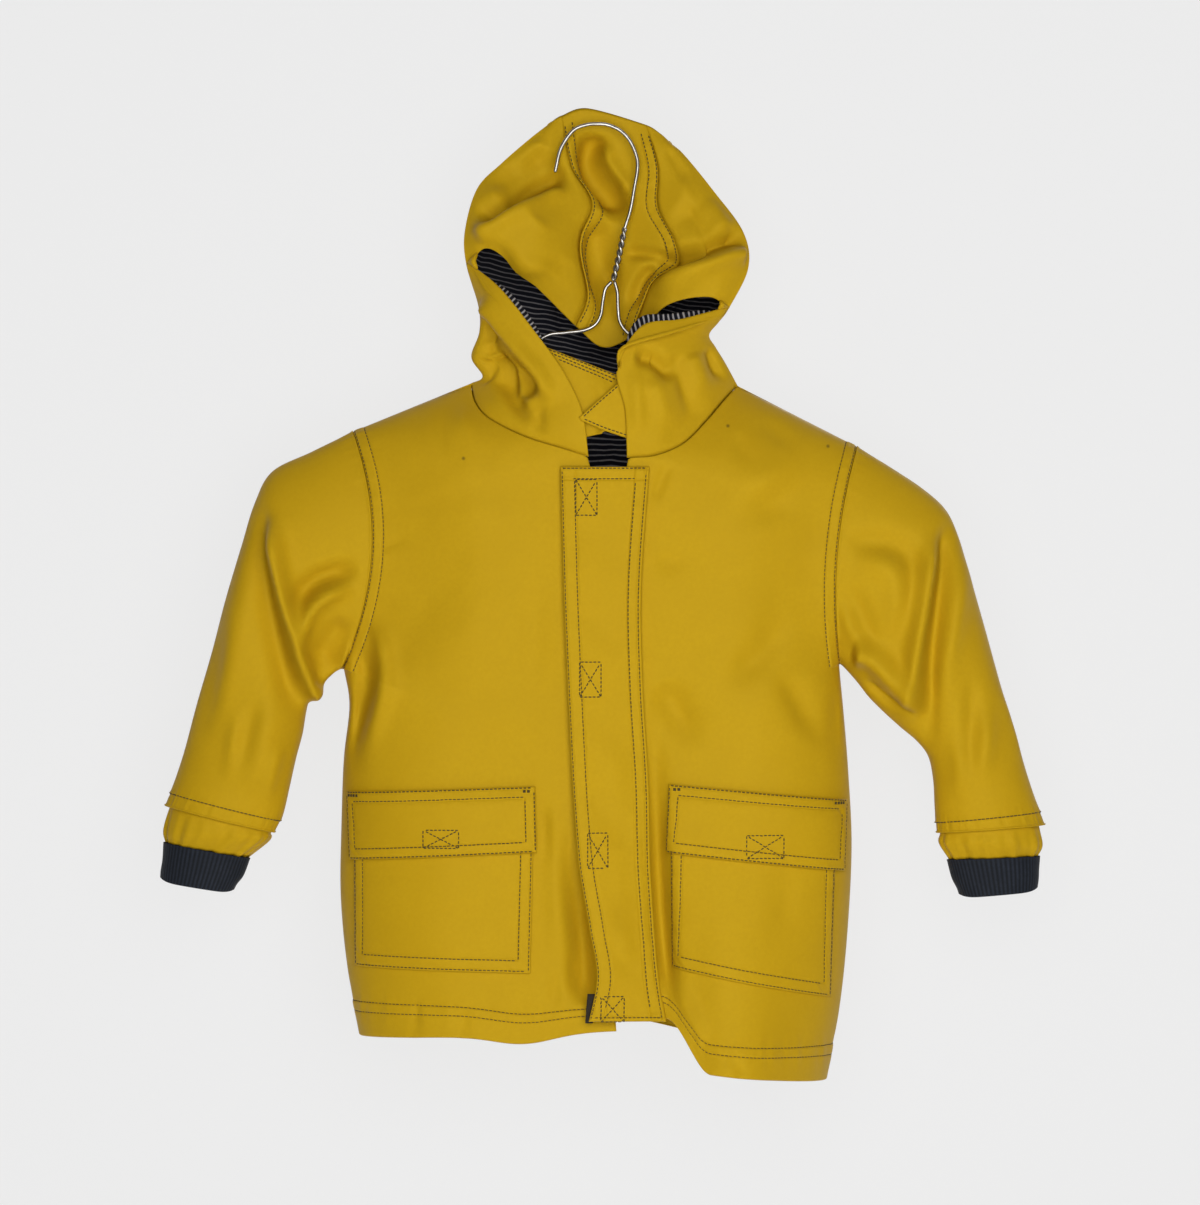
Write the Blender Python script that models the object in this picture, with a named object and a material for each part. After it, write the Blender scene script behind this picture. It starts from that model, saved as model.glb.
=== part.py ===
"""Child's hooded rain jacket hanging on a wire hanger, as closed solids in metres.

The frame: X to the right, -Y towards the viewer, +Z up, origin at the underside of the hook's top.
Tables are in millimetres and named by the wearer's right and left, so "right" lies at -X.
Every cloth piece is a wall: a sheet lofted through guide lines, with its thickness laid inwards.
Neighbouring pieces share their seam points and each stands back by half of the seam gap.
"""

import math

import bmesh
import bpy
import numpy as np
from mathutils import Vector
from mathutils.bvhtree import BVHTree

MM = 0.001

# ---- driving dimensions, millimetres ----
CLOTH = 1.2  # coated outer cloth with its jersey backing
LINING = 0.8  # striped jersey
RIB = 1.8  # ribbed knit of the cuffs
GAP = 0.4  # between pieces at a seam
LIFT = 0.45  # between a sewn-on piece and the panel under it
TRIM = 1.0  # throat band and chin tab
TAPE_THICK = 0.9  # hook-and-loop tape
WIRE = 2.6  # diameter of the hanger's wire
WIRE_SIDES = 10

CHEST_DEPTH = {"front": 37.0, "back": 33.0}  # from the hanger's plane at the chest
HEM_DEPTH = {"front": 48.0, "back": 42.0}
CHEST_Z, HEM_Z = -260.0, -565.0
SHOULDER_ROLL = 95.0  # height over which the depth grows below the shoulder
SIDE_SWELL, ARM_SWELL = 0.45, 0.5  # share of the half width over which a panel fills out

# ---- grids ----
SIDE_ROWS = 6  # from hem to underarm
ARM_ROWS = 12  # from underarm to shoulder point, half of the sleeve's ring
NECK_ROWS = 5  # the last rows end on the neckline
ACROSS = (0.0, 0.04, 0.12, 0.25, 0.39, 0.52, 0.64, 0.76, 0.88, 1.0)  # from side to centre
BODY_ROWS = SIDE_ROWS + ARM_ROWS
MEASURE_STEPS = 24  # points to an interval where a curve's length is measured

# ---- the body's lines, x and z from the hem up ----
SIDE_LINE = {
    "right": [
        (-149, -567.5), (-157, -524), (-161, -480), (-160.5, -436),
        (-159, -395), (-155.5, -362), (-159, -339),
    ],
    "left": [
        (144, -595), (152.5, -550), (157.5, -502), (160, -450),
        (158, -405), (155, -367), (152, -336),
    ],
}
CENTRE_FRONT = {
    "right": [(1, -558), (5, -500), (6, -420), (6, -320), (5, -250), (-6, -207.5)],
    "left": [(34, -553), (22, -500), (14, -420), (11, -320), (12, -250), (19.5, -208.5)],
}
CENTRE_BACK = [(6, -559), (6, -460), (6, -350), (5, -260), (5, -174)]

# ---- the neckline, x y z from the centre to the neck point on the shoulder ----
FRONT_NECK = {
    "right": [
        (-6, -36, -207.5), (-20, -35.5, -203), (-45, -31, -195),
        (-67, -22, -183.5), (-76, -12, -173), (-79, 0, -161),
    ],
    "left": [
        (19.5, -36, -208.5), (36, -35, -207), (54, -30, -199),
        (69, -20, -184), (80, -10, -171), (88, 0, -162.5),
    ],
}
BACK_NECK = {
    "right": [(5, 24, -174), (-30, 22, -172), (-58, 14, -167), (-73, 6, -163), (-79, 0, -161)],
    "left": [(5, 24, -174), (40, 22, -173), (68, 14, -169), (82, 6, -165), (88, 0, -162.5)],
}

ARMPIT_EASE = ((0, 3.5), (1, 2.6), (2, 1.6))  # ring steps from the armpit, times the usual gap

# ---- sleeve rings: outer_x, outer_z, inner_x, inner_z, push towards the body, depth ----
SLEEVE = {
    "right": [
        (-152.5, -191, -159, -339, 16, 24),
        (-178, -203.5, -164, -341, 7, 26),
        (-203, -216, -170, -347, 0, 26),
        (-214, -236, -175, -354, -4, 25),
        (-222, -262, -180, -360, -6, 24),
        (-232, -296, -182, -368, -6, 23),
        (-241, -330, -184, -380, -3, 22),
        (-250, -361, -188, -395, 0, 21),
        (-258, -391, -192, -413, 0, 20),
        (-265, -412, -196, -430, 0, 20),
        (-270, -424, -201, -441, 0, 20),
    ],
    "left": [
        (162.5, -200.5, 152, -336, -8, 24),
        (183, -213, 156, -340, -2, 26),
        (204, -227, 163, -348, 4, 26),
        (218, -240, 170, -357, 7, 25),
        (226, -257, 180, -367, 7, 24),
        (233, -281, 190, -376, 5, 23),
        (243, -316, 200, -384.5, 3, 22),
        (253, -352, 207, -394, 0, 21),
        (263, -386, 210, -408, 0, 20),
        (272, -415, 211, -425, 0, 20),
        (280, -436, 212, -441, 0, 20),
    ],
}
BAND = {
    "right": [(-263.5, -417, -201, -433, 0, 17.6), (-267, -426, -203.5, -441.5, 0, 17.6),
              (-270.5, -440, -204.5, -446, 0, 18), (-269.5, -447.5, -218, -457, 0, 13.5)],
    "left": [(273.5, -428.5, 214, -434, 0, 17.6), (276.5, -438, 214.5, -442, 0, 17.6),
             (278.5, -449, 214, -448, 0, 18), (275.5, -456, 220, -458, 0, 13.5)],
}
CUFF = {
    "right": [(-269.5, -447.5, -218, -457, 0, 13.5), (-270.5, -460, -222.5, -468, 0, 13),
              (-271.5, -472, -228, -479, 0, 12.5)],
    "left": [(275.5, -456, 220, -458, 0, 13.5), (275, -467, 223.5, -470, 0, 13),
             (274, -478, 227.5, -482, 0, 12.5)],
}
CUFF_SIDES = 16

# ---- the left front swings out at its lower inner corner ----
FLARE_X, FLARE_WIDTH, FLARE_DEPTH, FLARE_HEIGHT = 84.0, 34.0, 24.0, 190.0
DROP_FROM, DROP_TO, DROP_SHARE, DROP_HEIGHT = 53.0, 86.0, 0.78, 130.0
WAVE_X, WAVE_WIDTH, WAVE, WAVE_HEIGHT = -45.0, 26.0, 6.0, 60.0

# ---- the hood's outer folds, x y z from neck to crown ----
CORNER = 5  # this row holds the mouth's corner
HOOD_FOLD = {
    "right": [
        (-79, 0, -161), (-71.5, -1, -156.5), (-78.5, -2, -144.5), (-73.5, -4, -129),
        (-74, -6, -113), (-81.5, -8, -87), (-82.5, -4, -66), (-75, 2, -39),
        (-59.5, 6, -22.5), (-42, 9, -7), (-29.5, 12, 3),
    ],
    "left": [
        (88, 0, -162.5), (80, -3, -148), (74, -6, -138.5), (70, -8, -131),
        (76, -9, -123), (82.5, -8, -114), (94.5, -4, -89), (91.5, 2, -66),
        (73, 6, -40), (55, 9, -16), (43.5, 12, -4.5),
    ],
}
HOOD_BACK = [(5, 24, -174), (5, 30, -162), (5, 36, -150), (6, 41, -139), (6, 46, -125), (6, 50, -104),
             (7, 50, -80), (7, 46, -52), (6, 39, -25), (3, 28, -4), (-6, 13, 12)]
SEAM_AT = [0.5, 0.46, 0.44, 0.43, 0.42, 0.42, 0.42, 0.43, 0.46, 0.55, 0.78]  # share of the half width
SEAM_TO_FOLD = (0.72, 0.36)  # columns between the fold and the gusset's seam, as shares of that way
GUSSET = (3, 7)  # the gusset's columns
HOOD_BOW = 2.2  # 2 makes the back an ellipse, more makes it fuller

# ---- the part of the hood that falls forward, each line from brow to crown ----
FLAP_LINES = [
    [(-67, -13, -77), (-63, -17, -67), (-58, -10, -46), (-47, 0, -31), (-36, 7, -12), (-28, 10, 4)],
    [(-45, -6, -99), (-42, -16, -84), (-38, -16, -62), (-34, -3, -44), (-30, 6, -20), (-26, 9, 5.5)],
    [(-13, 4, -124), (-5, 2, -104), (-9, 0, -74), (-3, 4, -46), (-16, 5, -24), (-22, 8.5, 7.5)],
    [(4, 8, -137), (6, 8, -112), (10, 6, -82), (14, 7, -53), (6, 12, -25), (-6, 8.5, 12)],
    [(22, 5, -130), (30, 3, -103), (49, -3, -78), (38, 4, -50), (38, 5, -25), (37, 8.5, 0)],
    [(44, -10, -112), (53, -14, -98), (66, -12, -76), (56, -3, -48), (46, 4, -21), (40.5, 9, -2)],
    [(70, -14, -107), (77, -14, -94), (82, -8, -71), (65, 0, -45), (51, 6, -18), (42.5, 10, -3.5)],
]
FLAP_STEPS = (1, 1, 1, 2, 2, 1, 1, 1)
ROW_STEPS = 2  # above the corner
HOOD_LINING_TOP = 10  # its highest row
NECK_LINING_ROWS, NECK_LINING_FROM = 3, 6  # rows below the neckline, and its first column

# ---- the face's edges, x y z from the neck to the corner ----
FACE_EDGE = {
    "right": [
        (-6, -36, -207.5), (-10, -37, -179), (-22, -35, -154),
        (-40, -32, -129), (-60, -25, -104), (-81, -8, -85),
    ],
    "left": [
        (19.5, -36, -208.5), (18, -38, -178), (13, -37, -153),
        (27, -31, -126), (52, -25, -119), (82, -8, -114),
    ],
}
COLLAR_BOW = 0.75  # how early the collar comes forward from its fold
LAPEL = [(13, -37, -153), (17, -38.5, -141), (46, -33, -131.5), (82, -8, -114)]  # its free edge
LAPEL_FROM = 2  # row where the turned-out edge starts
LAPEL_CREST = (0.0, -3.2, 0.6)  # from the collar's edge to the top of the turn

# ---- pieces laid on the fronts ----
POCKET_CELLS, POCKET_FLAP_CELLS = (7, 11), (4, 11)  # rows and columns
POCKET_REACH = 4.5  # a pocket clears whatever lies this near, and so bridges the panel's facets
POCKET = {
    "right": [(-150.5, -523), (-41, -526), (-39, -440), (-151, -442)],
    "left": [(46, -522), (145, -542), (148, -450), (45, -438)],
}
POCKET_FLAP = {
    "right": [(-154, -457), (-37, -451.5), (-38, -411), (-156, -415)],
    "left": [(42, -451.5), (154, -464), (156, -420), (44, -409.5)],
}
STORM_FLAP = [  # z, free edge x, sewn edge x, how far the free edge stands off
    (-555, -5, 42, 4.0),
    (-528, 0, 38, 6.0),
    (-500, -3, 35.5, 7.0),
    (-460, -7, 34, 6.0),
    (-410, -15, 32, 4.0),
    (-350, -18, 28.5, 3.0),
    (-290, -20.5, 27.5, 2.0),
    (-214, -22.5, 32.5, 1.0),
]
STORM_STEPS = 7
STORM_REACH = 4.0
STORM_TOP = -216.0  # above this the flap keeps the panel's depth at its top
TAPE = [(-556, -7.0, -1.5), (-534, -6.6, -1.2)]  # z and its two edges, low and high
TAPE_BEHIND = 1.7  # behind the flap's inner face

THROAT_BAND = [  # left edge and right edge, x y z from top to bottom
    ((-38, -26.5, -137), (21, -29.0, -160)),
    ((-26, -29.0, -158), (22, -31.0, -172)),
    ((-14, -31.0, -182), (22, -31.5, -184)),
    ((-8, -31.8, -196), (10, -32.0, -191)),
]
CHIN_TAB = [  # upper and lower edge, x y z from the tip to the sewn end
    ((-11, -37.8, -183.5), (-9.5, -37.8, -185.5)),
    ((4, -36.2, -170), (4, -36.2, -191.5)),
    ((16, -34.0, -160), (16, -34.0, -195.5)),
    ((22, -33.4, -158), (22, -33.4, -198)),
]

# ---- hanger ----
HOOK = [
    (-26, -28), (-22.5, -14), (-15, -3), (-7, 0.6), (0, 1.3), (7, 0.6), (15, -3.2),
    (21, -10), (25, -20), (25.2, -28), (23.5, -38), (21, -52), (17.5, -63.5),
]
TWIST = [(17.2, -64.5), (14, -80), (10.4, -96)]
TWIST_RADIUS = 2.4  # two wires wound round each other
LEG = {
    "right": [
        (8.6, -97.8), (5.2, -102), (3.6, -110), (2.4, -118), (-1, -124), (-8, -127.6),
        (-20, -129.2), (-30, -130.5), (-39, -136), (-55, -148), (-70, -160),
    ],
    "left": [
        (11.2, -97.8), (12.8, -104), (13.2, -114), (14.2, -122), (18, -128), (24, -132.5),
        (40, -141), (60, -151.5), (78, -162),
    ],
}
WIRE_UNDER = 3.6  # wire's centre below the shoulder's outer face
WIRE_TIP_REACH = 0.93  # how far along the sleeve's top the hanger goes
WIRE_BEND, WIRE_TURN, WIRE_BEND_STEPS = 5.0, 2.45, 7  # the hanger's corner: radius, angle, points
WIRE_GAP = 0.5  # between the bar and the shoulder wires

COLOURS = {
    "cloth": (0.50, 0.30, 0.013, 1.0),
    "lining": (0.02, 0.02, 0.02, 1.0),
    "rib": (0.008, 0.012, 0.022, 1.0),
    "wire": (0.62, 0.60, 0.57, 1.0),
    "tape": (0.03, 0.025, 0.02, 1.0),
}


def clear_scene():
    for thing in list(bpy.data.objects):
        bpy.data.objects.remove(thing, do_unlink=True)


def material_for(name, kind):
    """A material of the node's own, with its kind's colour."""
    material = bpy.data.materials.new(name + "_finish")
    material.use_nodes = True
    shader = material.node_tree.nodes["Principled BSDF"]
    shader.inputs["Base Color"].default_value = COLOURS[kind]
    shader.inputs["Metallic"].default_value = 1.0 if kind == "wire" else 0.0
    shader.inputs["Roughness"].default_value = {"wire": 0.3, "cloth": 0.5}.get(kind, 0.9)
    return material


# ---------------------------------------------------------------- curves and grids
def curve(points, steps=1):
    """A Catmull-Rom curve through the points; steps is a count, or one for each interval."""
    points = np.asarray(points, float)
    ends = np.vstack([2 * points[0] - points[1], points, 2 * points[-1] - points[-2]])
    counts = [steps] * (len(points) - 1) if isinstance(steps, int) else steps
    out = []
    for i, count in enumerate(counts):
        before, start, end, after = ends[i : i + 4]
        for t in np.arange(count) / count:
            out.append(
                0.5
                * (
                    2 * start
                    + (end - before) * t
                    + (2 * before - 5 * start + 4 * end - after) * t**2
                    + (3 * start - before - 3 * end + after) * t**3
                )
            )
    out.append(points[-1])
    return np.array(out)


def spaced(points, shares):
    """Points at these shares of the length of the smooth curve through the given points."""
    fine = curve(points, MEASURE_STEPS)
    run = np.concatenate([[0], np.cumsum(np.linalg.norm(np.diff(fine, axis=0), axis=1))])
    at = np.asarray(shares) * run[-1]
    return np.stack([np.interp(at, run, along) for along in fine.T], axis=1)


def rounded(t):
    """A quarter circle's height at t, flat from 1 on."""
    t = np.clip(t, 0, 1)
    return np.sqrt(1 - (1 - t) ** 2)


def smooth(t):
    t = np.clip(t, 0, 1)
    return t * t * (3 - 2 * t)


def ring_point(section, angle):
    """A point of a sleeve's ring: angle 0 is its outer edge, a quarter turn its front."""
    outer_x, outer_z, inner_x, inner_z, push, depth = section
    swing, face = math.cos(angle), math.sin(angle)
    x = (outer_x + inner_x) / 2 + swing * (outer_x - inner_x) / 2 + push * face * face
    z = (outer_z + inner_z) / 2 + swing * (outer_z - inner_z) / 2
    return (x, -depth * face, z)


def ring_grid(sections, sides, steps=1):
    """Closed rings through the sections, one row each."""
    rows = curve(sections, steps)
    turns = [2 * math.pi * i / sides for i in range(sides)]
    grid = np.array([[ring_point(row, turn) for turn in turns] for row in rows])
    return np.concatenate([grid, grid[:, :1]], axis=1)


# ---------------------------------------------------------------- body
def shoulder_height(side, x):
    """Height of the shoulder's fold above this x."""
    point, neck = SLEEVE[side][0], FRONT_NECK[side][-1]
    share = (x - point[0]) / (neck[0] - point[0])
    return point[1] + (neck[2] - point[1]) * np.clip(share, 0, 1)


def panel(side, layer):
    """A quarter of the body: rows from hem to shoulder, columns from side to centre."""
    edge = [(x, 0.0, z) for x, z in SIDE_LINE[side]]
    for i in range(1, ARM_ROWS + 1):
        x, y, z = ring_point(SLEEVE[side][0], math.pi * (1 - i / ARM_ROWS))
        edge.append((x, y if layer == "front" else -y, z))
    edge = np.array(edge)
    plunge = BODY_ROWS - NECK_ROWS
    shares = np.linspace(0, 1, plunge + 1)
    if layer == "front":
        centre = spaced(CENTRE_FRONT[side], shares)
        neck = spaced(FRONT_NECK[side], np.linspace(0, 1, NECK_ROWS + 1))
    else:
        centre = spaced(CENTRE_BACK, shares)
        neck = spaced(BACK_NECK[side], np.linspace(0, 1, NECK_ROWS + 1))
    way = -1 if layer == "front" else 1
    inner = np.zeros((BODY_ROWS + 1, 3))
    inner[: plunge + 1, 0], inner[: plunge + 1, 2] = centre[:, 0], centre[:, 1]
    inner[plunge:] = neck

    grid = np.zeros((BODY_ROWS + 1, len(ACROSS), 3))
    for row in range(BODY_ROWS + 1):
        arm = max(0, row - SIDE_ROWS) / ARM_ROWS  # 0 at the underarm, 1 at the shoulder
        for column, share in enumerate(ACROSS):
            x, _, z = edge[row] + (inner[row] - edge[row]) * share
            fall = rounded((shoulder_height(side, x) - z) / SHOULDER_ROLL)
            down = np.clip((CHEST_Z - z) / (CHEST_Z - HEM_Z), 0, 1)
            full = (CHEST_DEPTH[layer] + (HEM_DEPTH[layer] - CHEST_DEPTH[layer]) * down) * fall
            held = abs(edge[row][1])
            lean = math.sin(math.pi * arm)
            swell = (1 - lean) * rounded(share / SIDE_SWELL) + lean * smooth(share / ARM_SWELL)
            depth = held + (full - held) * swell
            if row >= plunge:
                depth += (abs(inner[row][1]) - full) * share**2
            grid[row, column] = (x, way * depth, z)
    if layer == "front":
        hang_hem(grid, side)
    grid[:, 0] = edge
    if layer == "front" and side == "left":
        grid[0, 0, 2] = SIDE_LINE[side][0][1]
    grid[plunge:, -1] = inner[plunge:]
    return grid


def hang_hem(grid, side):
    """The right hem dips in a soft wave; the left one drops and swings forward."""
    x, z = grid[..., 0], grid[..., 2]
    if side == "right":
        rise = np.clip(1 - (z - HEM_Z) / WAVE_HEIGHT, 0, 1)
        grid[..., 2] -= WAVE * np.exp(-(((x - WAVE_X) / WAVE_WIDTH) ** 2)) * rise
        return
    rise = np.clip(1 - (z - HEM_Z) / FLARE_HEIGHT, 0, 1) ** 2
    grid[..., 1] -= FLARE_DEPTH * np.exp(-(((x - FLARE_X) / FLARE_WIDTH) ** 2)) * rise
    low = grid[0, 0, 2] + (grid[0, -1, 2] - grid[0, 0, 2]) * np.array(ACROSS)
    fast = smooth((x[0] - DROP_FROM) / (DROP_TO - DROP_FROM))
    slow = np.clip((x[0] - DROP_TO) / (x[0, 0] - DROP_TO), 0, 1)
    share = DROP_SHARE * fast + (1 - DROP_SHARE) * slow
    step = grid[0, -1, 2] + (grid[0, 0, 2] - grid[0, -1, 2]) * share
    rise = np.clip(1 - (z - HEM_Z) / DROP_HEIGHT, 0, 1)
    grid[..., 2] += (step - low)[None, :] * rise


# ---------------------------------------------------------------- hood
def hood_rows():
    return [1] * CORNER + [ROW_STEPS] * (len(HOOD_BACK) - 1 - CORNER)


def hood_back():
    """Back of the hood: rows from neck to crown, columns from the right fold to the left one."""
    steps = hood_rows()
    folds = {side: curve(HOOD_FOLD[side], steps) for side in HOOD_FOLD}
    middle = curve(HOOD_BACK, steps)
    seam = curve([(s, 0, 0) for s in SEAM_AT], steps)[:, 0]
    rows = []
    for row in range(len(middle)):
        w = seam[row]
        half = [1, *(w + (1 - w) * share for share in SEAM_TO_FOLD), w, w / 2]
        line = []
        for side, shares in (("right", half), ("left", half[::-1])):
            for share in shares:
                point = middle[row] + (folds[side][row] - middle[row]) * share
                bow = (1 - share**HOOD_BOW) ** (1 / HOOD_BOW)
                point[1] = folds[side][row][1] + (middle[row][1] - folds[side][row][1]) * bow
                point[2] = middle[row][2] + (folds[side][row][2] - middle[row][2]) * share**2
                line.append(point)
            if side == "right":
                line.append(middle[row])
        rows.append(line)
    grid = np.array(rows)
    shares = np.linspace(0, 1, NECK_ROWS + 1)
    right, left = spaced(BACK_NECK["right"], shares), spaced(BACK_NECK["left"], shares)
    grid[0] = np.concatenate([right[::-1], left[1:]])
    return grid


def hood_flap(back):
    """The front of the hood that falls from the crown to the brow; same columns as the back."""
    first = CORNER
    lines = [HOOD_FOLD["right"][first:], *FLAP_LINES, HOOD_FOLD["left"][first:]]
    runs = np.array([curve(line, ROW_STEPS) for line in lines])
    grid = np.array([curve(runs[:, row], list(FLAP_STEPS)) for row in range(runs.shape[1])])
    grid[:, 0], grid[:, -1] = back[first:, 0], back[first:, -1]
    return grid


def hood_collar(side, back):
    """Lower front of the hood: rows from neck to corner, columns from the fold to the face's edge."""
    fold = back[: CORNER + 1, 0 if side == "right" else -1]
    edge = np.array(FACE_EDGE[side], float)
    shares = np.linspace(0, 1, NECK_ROWS + 1)
    grid = np.zeros((CORNER + 1, NECK_ROWS + 1, 3))
    for row in range(CORNER + 1):
        for column, share in enumerate(shares):
            point = fold[row] + (edge[row] - fold[row]) * share
            bow = math.sin(math.pi / 2 * share) ** COLLAR_BOW
            point[1] = fold[row][1] + (edge[row][1] - fold[row][1]) * bow
            grid[row, column] = point
    grid[0] = spaced(FRONT_NECK[side], shares)[::-1]
    return grid


def hood_lapel(collar):
    """The left face edge is turned out: a strip from the collar's top over and down to its free edge."""
    ridge = collar[LAPEL_FROM:, -1]
    free = np.array(LAPEL, float)
    crest = ridge + LAPEL_CREST
    crest[0], crest[-1] = ridge[0], ridge[-1]
    return np.stack([ridge, crest, free], axis=1)


# ---------------------------------------------------------------- solids from sheets
SHARPEST = 0.35  # limits how far a sharp corner stands back
AHEAD = 400.0  # rays start this far in front


def key(point):
    """A point's place rounded to a micrometre, the same for every piece that shares it."""
    return tuple(int(round(float(v) * 1000)) for v in point)


class Sheet:
    """One piece's outer face: welded triangles made from grids whose rows and columns turn the same way."""

    def __init__(self, name, grids, kind="cloth", thick=CLOTH):
        self.name, self.kind, self.thick = name, kind, thick
        self.ease = {}  # how many times the usual step some border points take
        self.points, self.triangles, index = [], [], {}
        for grid, flip in grids:
            rows, columns = grid.shape[:2]
            ids = np.zeros((rows, columns), int)
            for r in range(rows):
                for c in range(columns):
                    k = key(grid[r, c])
                    if k not in index:
                        index[k] = len(self.points)
                        self.points.append(np.array(grid[r, c], float))
                    ids[r, c] = index[k]
            for r in range(rows - 1):
                for c in range(columns - 1):
                    corners = [ids[r, c], ids[r, c + 1], ids[r + 1, c + 1], ids[r + 1, c]]
                    self.add_quad(corners[::-1] if flip else corners)

    def add_quad(self, corners):
        unique = [v for i, v in enumerate(corners) if v not in corners[:i]]
        if len(unique) == 3:
            self.triangles.append(tuple(unique))
        elif len(unique) == 4:
            a, b, c, d = unique
            first = np.linalg.norm(self.points[a] - self.points[c])
            second = np.linalg.norm(self.points[b] - self.points[d])
            if first <= second:
                self.triangles += [(a, b, c), (a, c, d)]
            else:
                self.triangles += [(a, b, d), (b, c, d)]

    def normals(self):
        """Area-weighted normal of each point, by key."""
        out = {}
        for a, b, c in self.triangles:
            face = np.cross(self.points[b] - self.points[a], self.points[c] - self.points[a])
            for v in (a, b, c):
                out[key(self.points[v])] = out.get(key(self.points[v]), 0) + face
        return out

    def border(self):
        """Edges that one triangle uses, in its direction, with that triangle's normal."""
        seen = {}
        for triangle in self.triangles:
            for i in range(3):
                seen[(triangle[i], triangle[(i + 1) % 3])] = triangle
        return [(edge, t) for edge, t in seen.items() if (edge[1], edge[0]) not in seen]

    def standing_back(self, normal):
        """Each border point's step into its own piece, half of the seam gap from both borders."""
        inward = {}
        for (a, b), triangle in self.border():
            along = self.points[b] - self.points[a]
            for v in (a, b):
                side = np.cross(normal[key(self.points[v])], along)
                inward.setdefault(v, []).append(side / np.linalg.norm(side))
        out = {}
        for v, sides in inward.items():
            total = sum(sides)
            spread = max(SHARPEST, 1 + float(np.dot(sides[0], sides[-1])))
            step = total / spread if len(sides) > 1 else total
            out[v] = step * (GAP / 2) * self.ease.get(key(self.points[v]), 1.0)
        return out

    def build(self, normal, lift=0.0):
        """The closed wall: outer face, moved out by lift, inner face and rim."""
        count = len(self.points)
        step = self.standing_back(normal)
        outer, inner = [], []
        for v, point in enumerate(self.points):
            n = normal[key(point)]
            outer.append(point + n * lift + step.get(v, 0))
            inner.append(point + n * (lift - self.thick) + step.get(v, 0))
        faces = list(self.triangles)
        faces += [(c + count, b + count, a + count) for a, b, c in self.triangles]
        for (a, b), _ in self.border():
            faces += [(b, a, a + count), (b, a + count, b + count)]
        return add_mesh(self.name, outer + inner, faces, self.kind)


def unit(vectors):
    return {k: v / np.linalg.norm(v) for k, v in vectors.items()}


def shared_normals(sheets):
    total = {}
    for sheet in sheets:
        for k, v in sheet.normals().items():
            total[k] = total.get(k, 0) + v
    return unit(total)


def add_mesh(name, points, faces, kind):
    mesh = bpy.data.meshes.new(name)
    mesh.from_pydata([Vector(p) * MM for p in points], [], faces)
    bm = bmesh.new()
    bm.from_mesh(mesh)
    bmesh.ops.recalc_face_normals(bm, faces=bm.faces)
    bm.to_mesh(mesh)
    bm.free()
    mesh.materials.append(material_for(name, kind))
    thing = bpy.data.objects.new(name, mesh)
    bpy.context.collection.objects.link(thing)
    return thing


# ---------------------------------------------------------------- pieces laid on others
class Ground:
    """The outer face of some sheets, looked at from the front."""

    def __init__(self, sheets, reach):
        self.trees = [BVHTree.FromPolygons([Vector(p) for p in s.points], s.triangles) for s in sheets]
        self.reach = reach

    def add(self, thing):
        """Lay later pieces over this mesh too."""
        mesh = thing.data
        points = [v.co / MM for v in mesh.vertices]
        self.trees.append(BVHTree.FromPolygons(points, [tuple(p.vertices) for p in mesh.polygons]))

    def front(self, x, z):
        """The most forward y of the face around x and z, or None off it."""
        best = None
        for dx in (-self.reach, 0, self.reach):
            for dz in (-self.reach, 0, self.reach):
                for tree in self.trees:
                    hit = tree.ray_cast(Vector((x + dx, -AHEAD, z + dz)), Vector((0, 1, 0)))[0]
                    if hit is not None and hit.y < 0 and (best is None or hit.y < best):
                        best = hit.y
        return best


def patch(ground, corners, cells):
    """A grid between four corners (low side, low centre, high centre, high side) laid on the ground."""
    rows, columns = cells
    low_a, low_b, high_b, high_a = (np.array(c, float) for c in corners)
    grid = np.zeros((rows + 1, columns + 1, 3))
    for r in range(rows + 1):
        for c in range(columns + 1):
            u, v = c / columns, r / rows
            x, z = (low_a * (1 - u) + low_b * u) * (1 - v) + (high_a * (1 - u) + high_b * u) * v
            y = ground.front(x, z)
            grid[r, c] = (x, y - LIFT, z)
    return grid


def slab(name, grid, thick, kind="cloth"):
    """A plate: the grid is its back face, the front face stands thick in front of it."""
    rows, columns = grid.shape[:2]
    back = [grid[r, c] for r in range(rows) for c in range(columns)]
    front = [p - (0, thick, 0) for p in back]
    count = len(back)
    faces = []
    for r in range(rows - 1):
        for c in range(columns - 1):
            a = r * columns + c
            quad = (a, a + 1, a + columns + 1, a + columns)
            for shift in (0, count):
                p, q, s, t = (v + shift for v in quad)
                halves = [(p, q, s), (p, s, t)]
                faces += halves if shift else [h[::-1] for h in halves]
    loop = list(range(columns))
    loop += [r * columns + columns - 1 for r in range(1, rows)]
    loop += [(rows - 1) * columns + c for c in range(columns - 2, -1, -1)]
    loop += [r * columns for r in range(rows - 2, 0, -1)]
    for a, b in zip(loop, loop[1:] + loop[:1]):
        faces += [(a, b, b + count), (a, b + count, a + count)]
    return add_mesh(name, back + front, faces, kind)


def tube(name, path, radius):
    """A round wire along points in the plane y = 0."""
    path = np.asarray(path, float)
    along = np.gradient(path, axis=0)
    along /= np.linalg.norm(along, axis=1)[:, None]
    points, faces = [], []
    for (x, z), (dx, dz) in zip(path, along):
        for i in range(WIRE_SIDES):
            turn = 2 * math.pi * (i + 0.5) / WIRE_SIDES
            out = math.cos(turn) * radius
            points.append((x - dz * out, math.sin(turn) * radius, z + dx * out))
    for row in range(len(path) - 1):
        for i in range(WIRE_SIDES):
            a, b = row * WIRE_SIDES + i, row * WIRE_SIDES + (i + 1) % WIRE_SIDES
            faces.append((a, b, b + WIRE_SIDES, a + WIRE_SIDES))
    faces.append(tuple(range(WIRE_SIDES))[::-1])
    faces.append(tuple(range(len(points) - WIRE_SIDES, len(points))))
    return add_mesh(name, points, faces, "wire")


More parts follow.
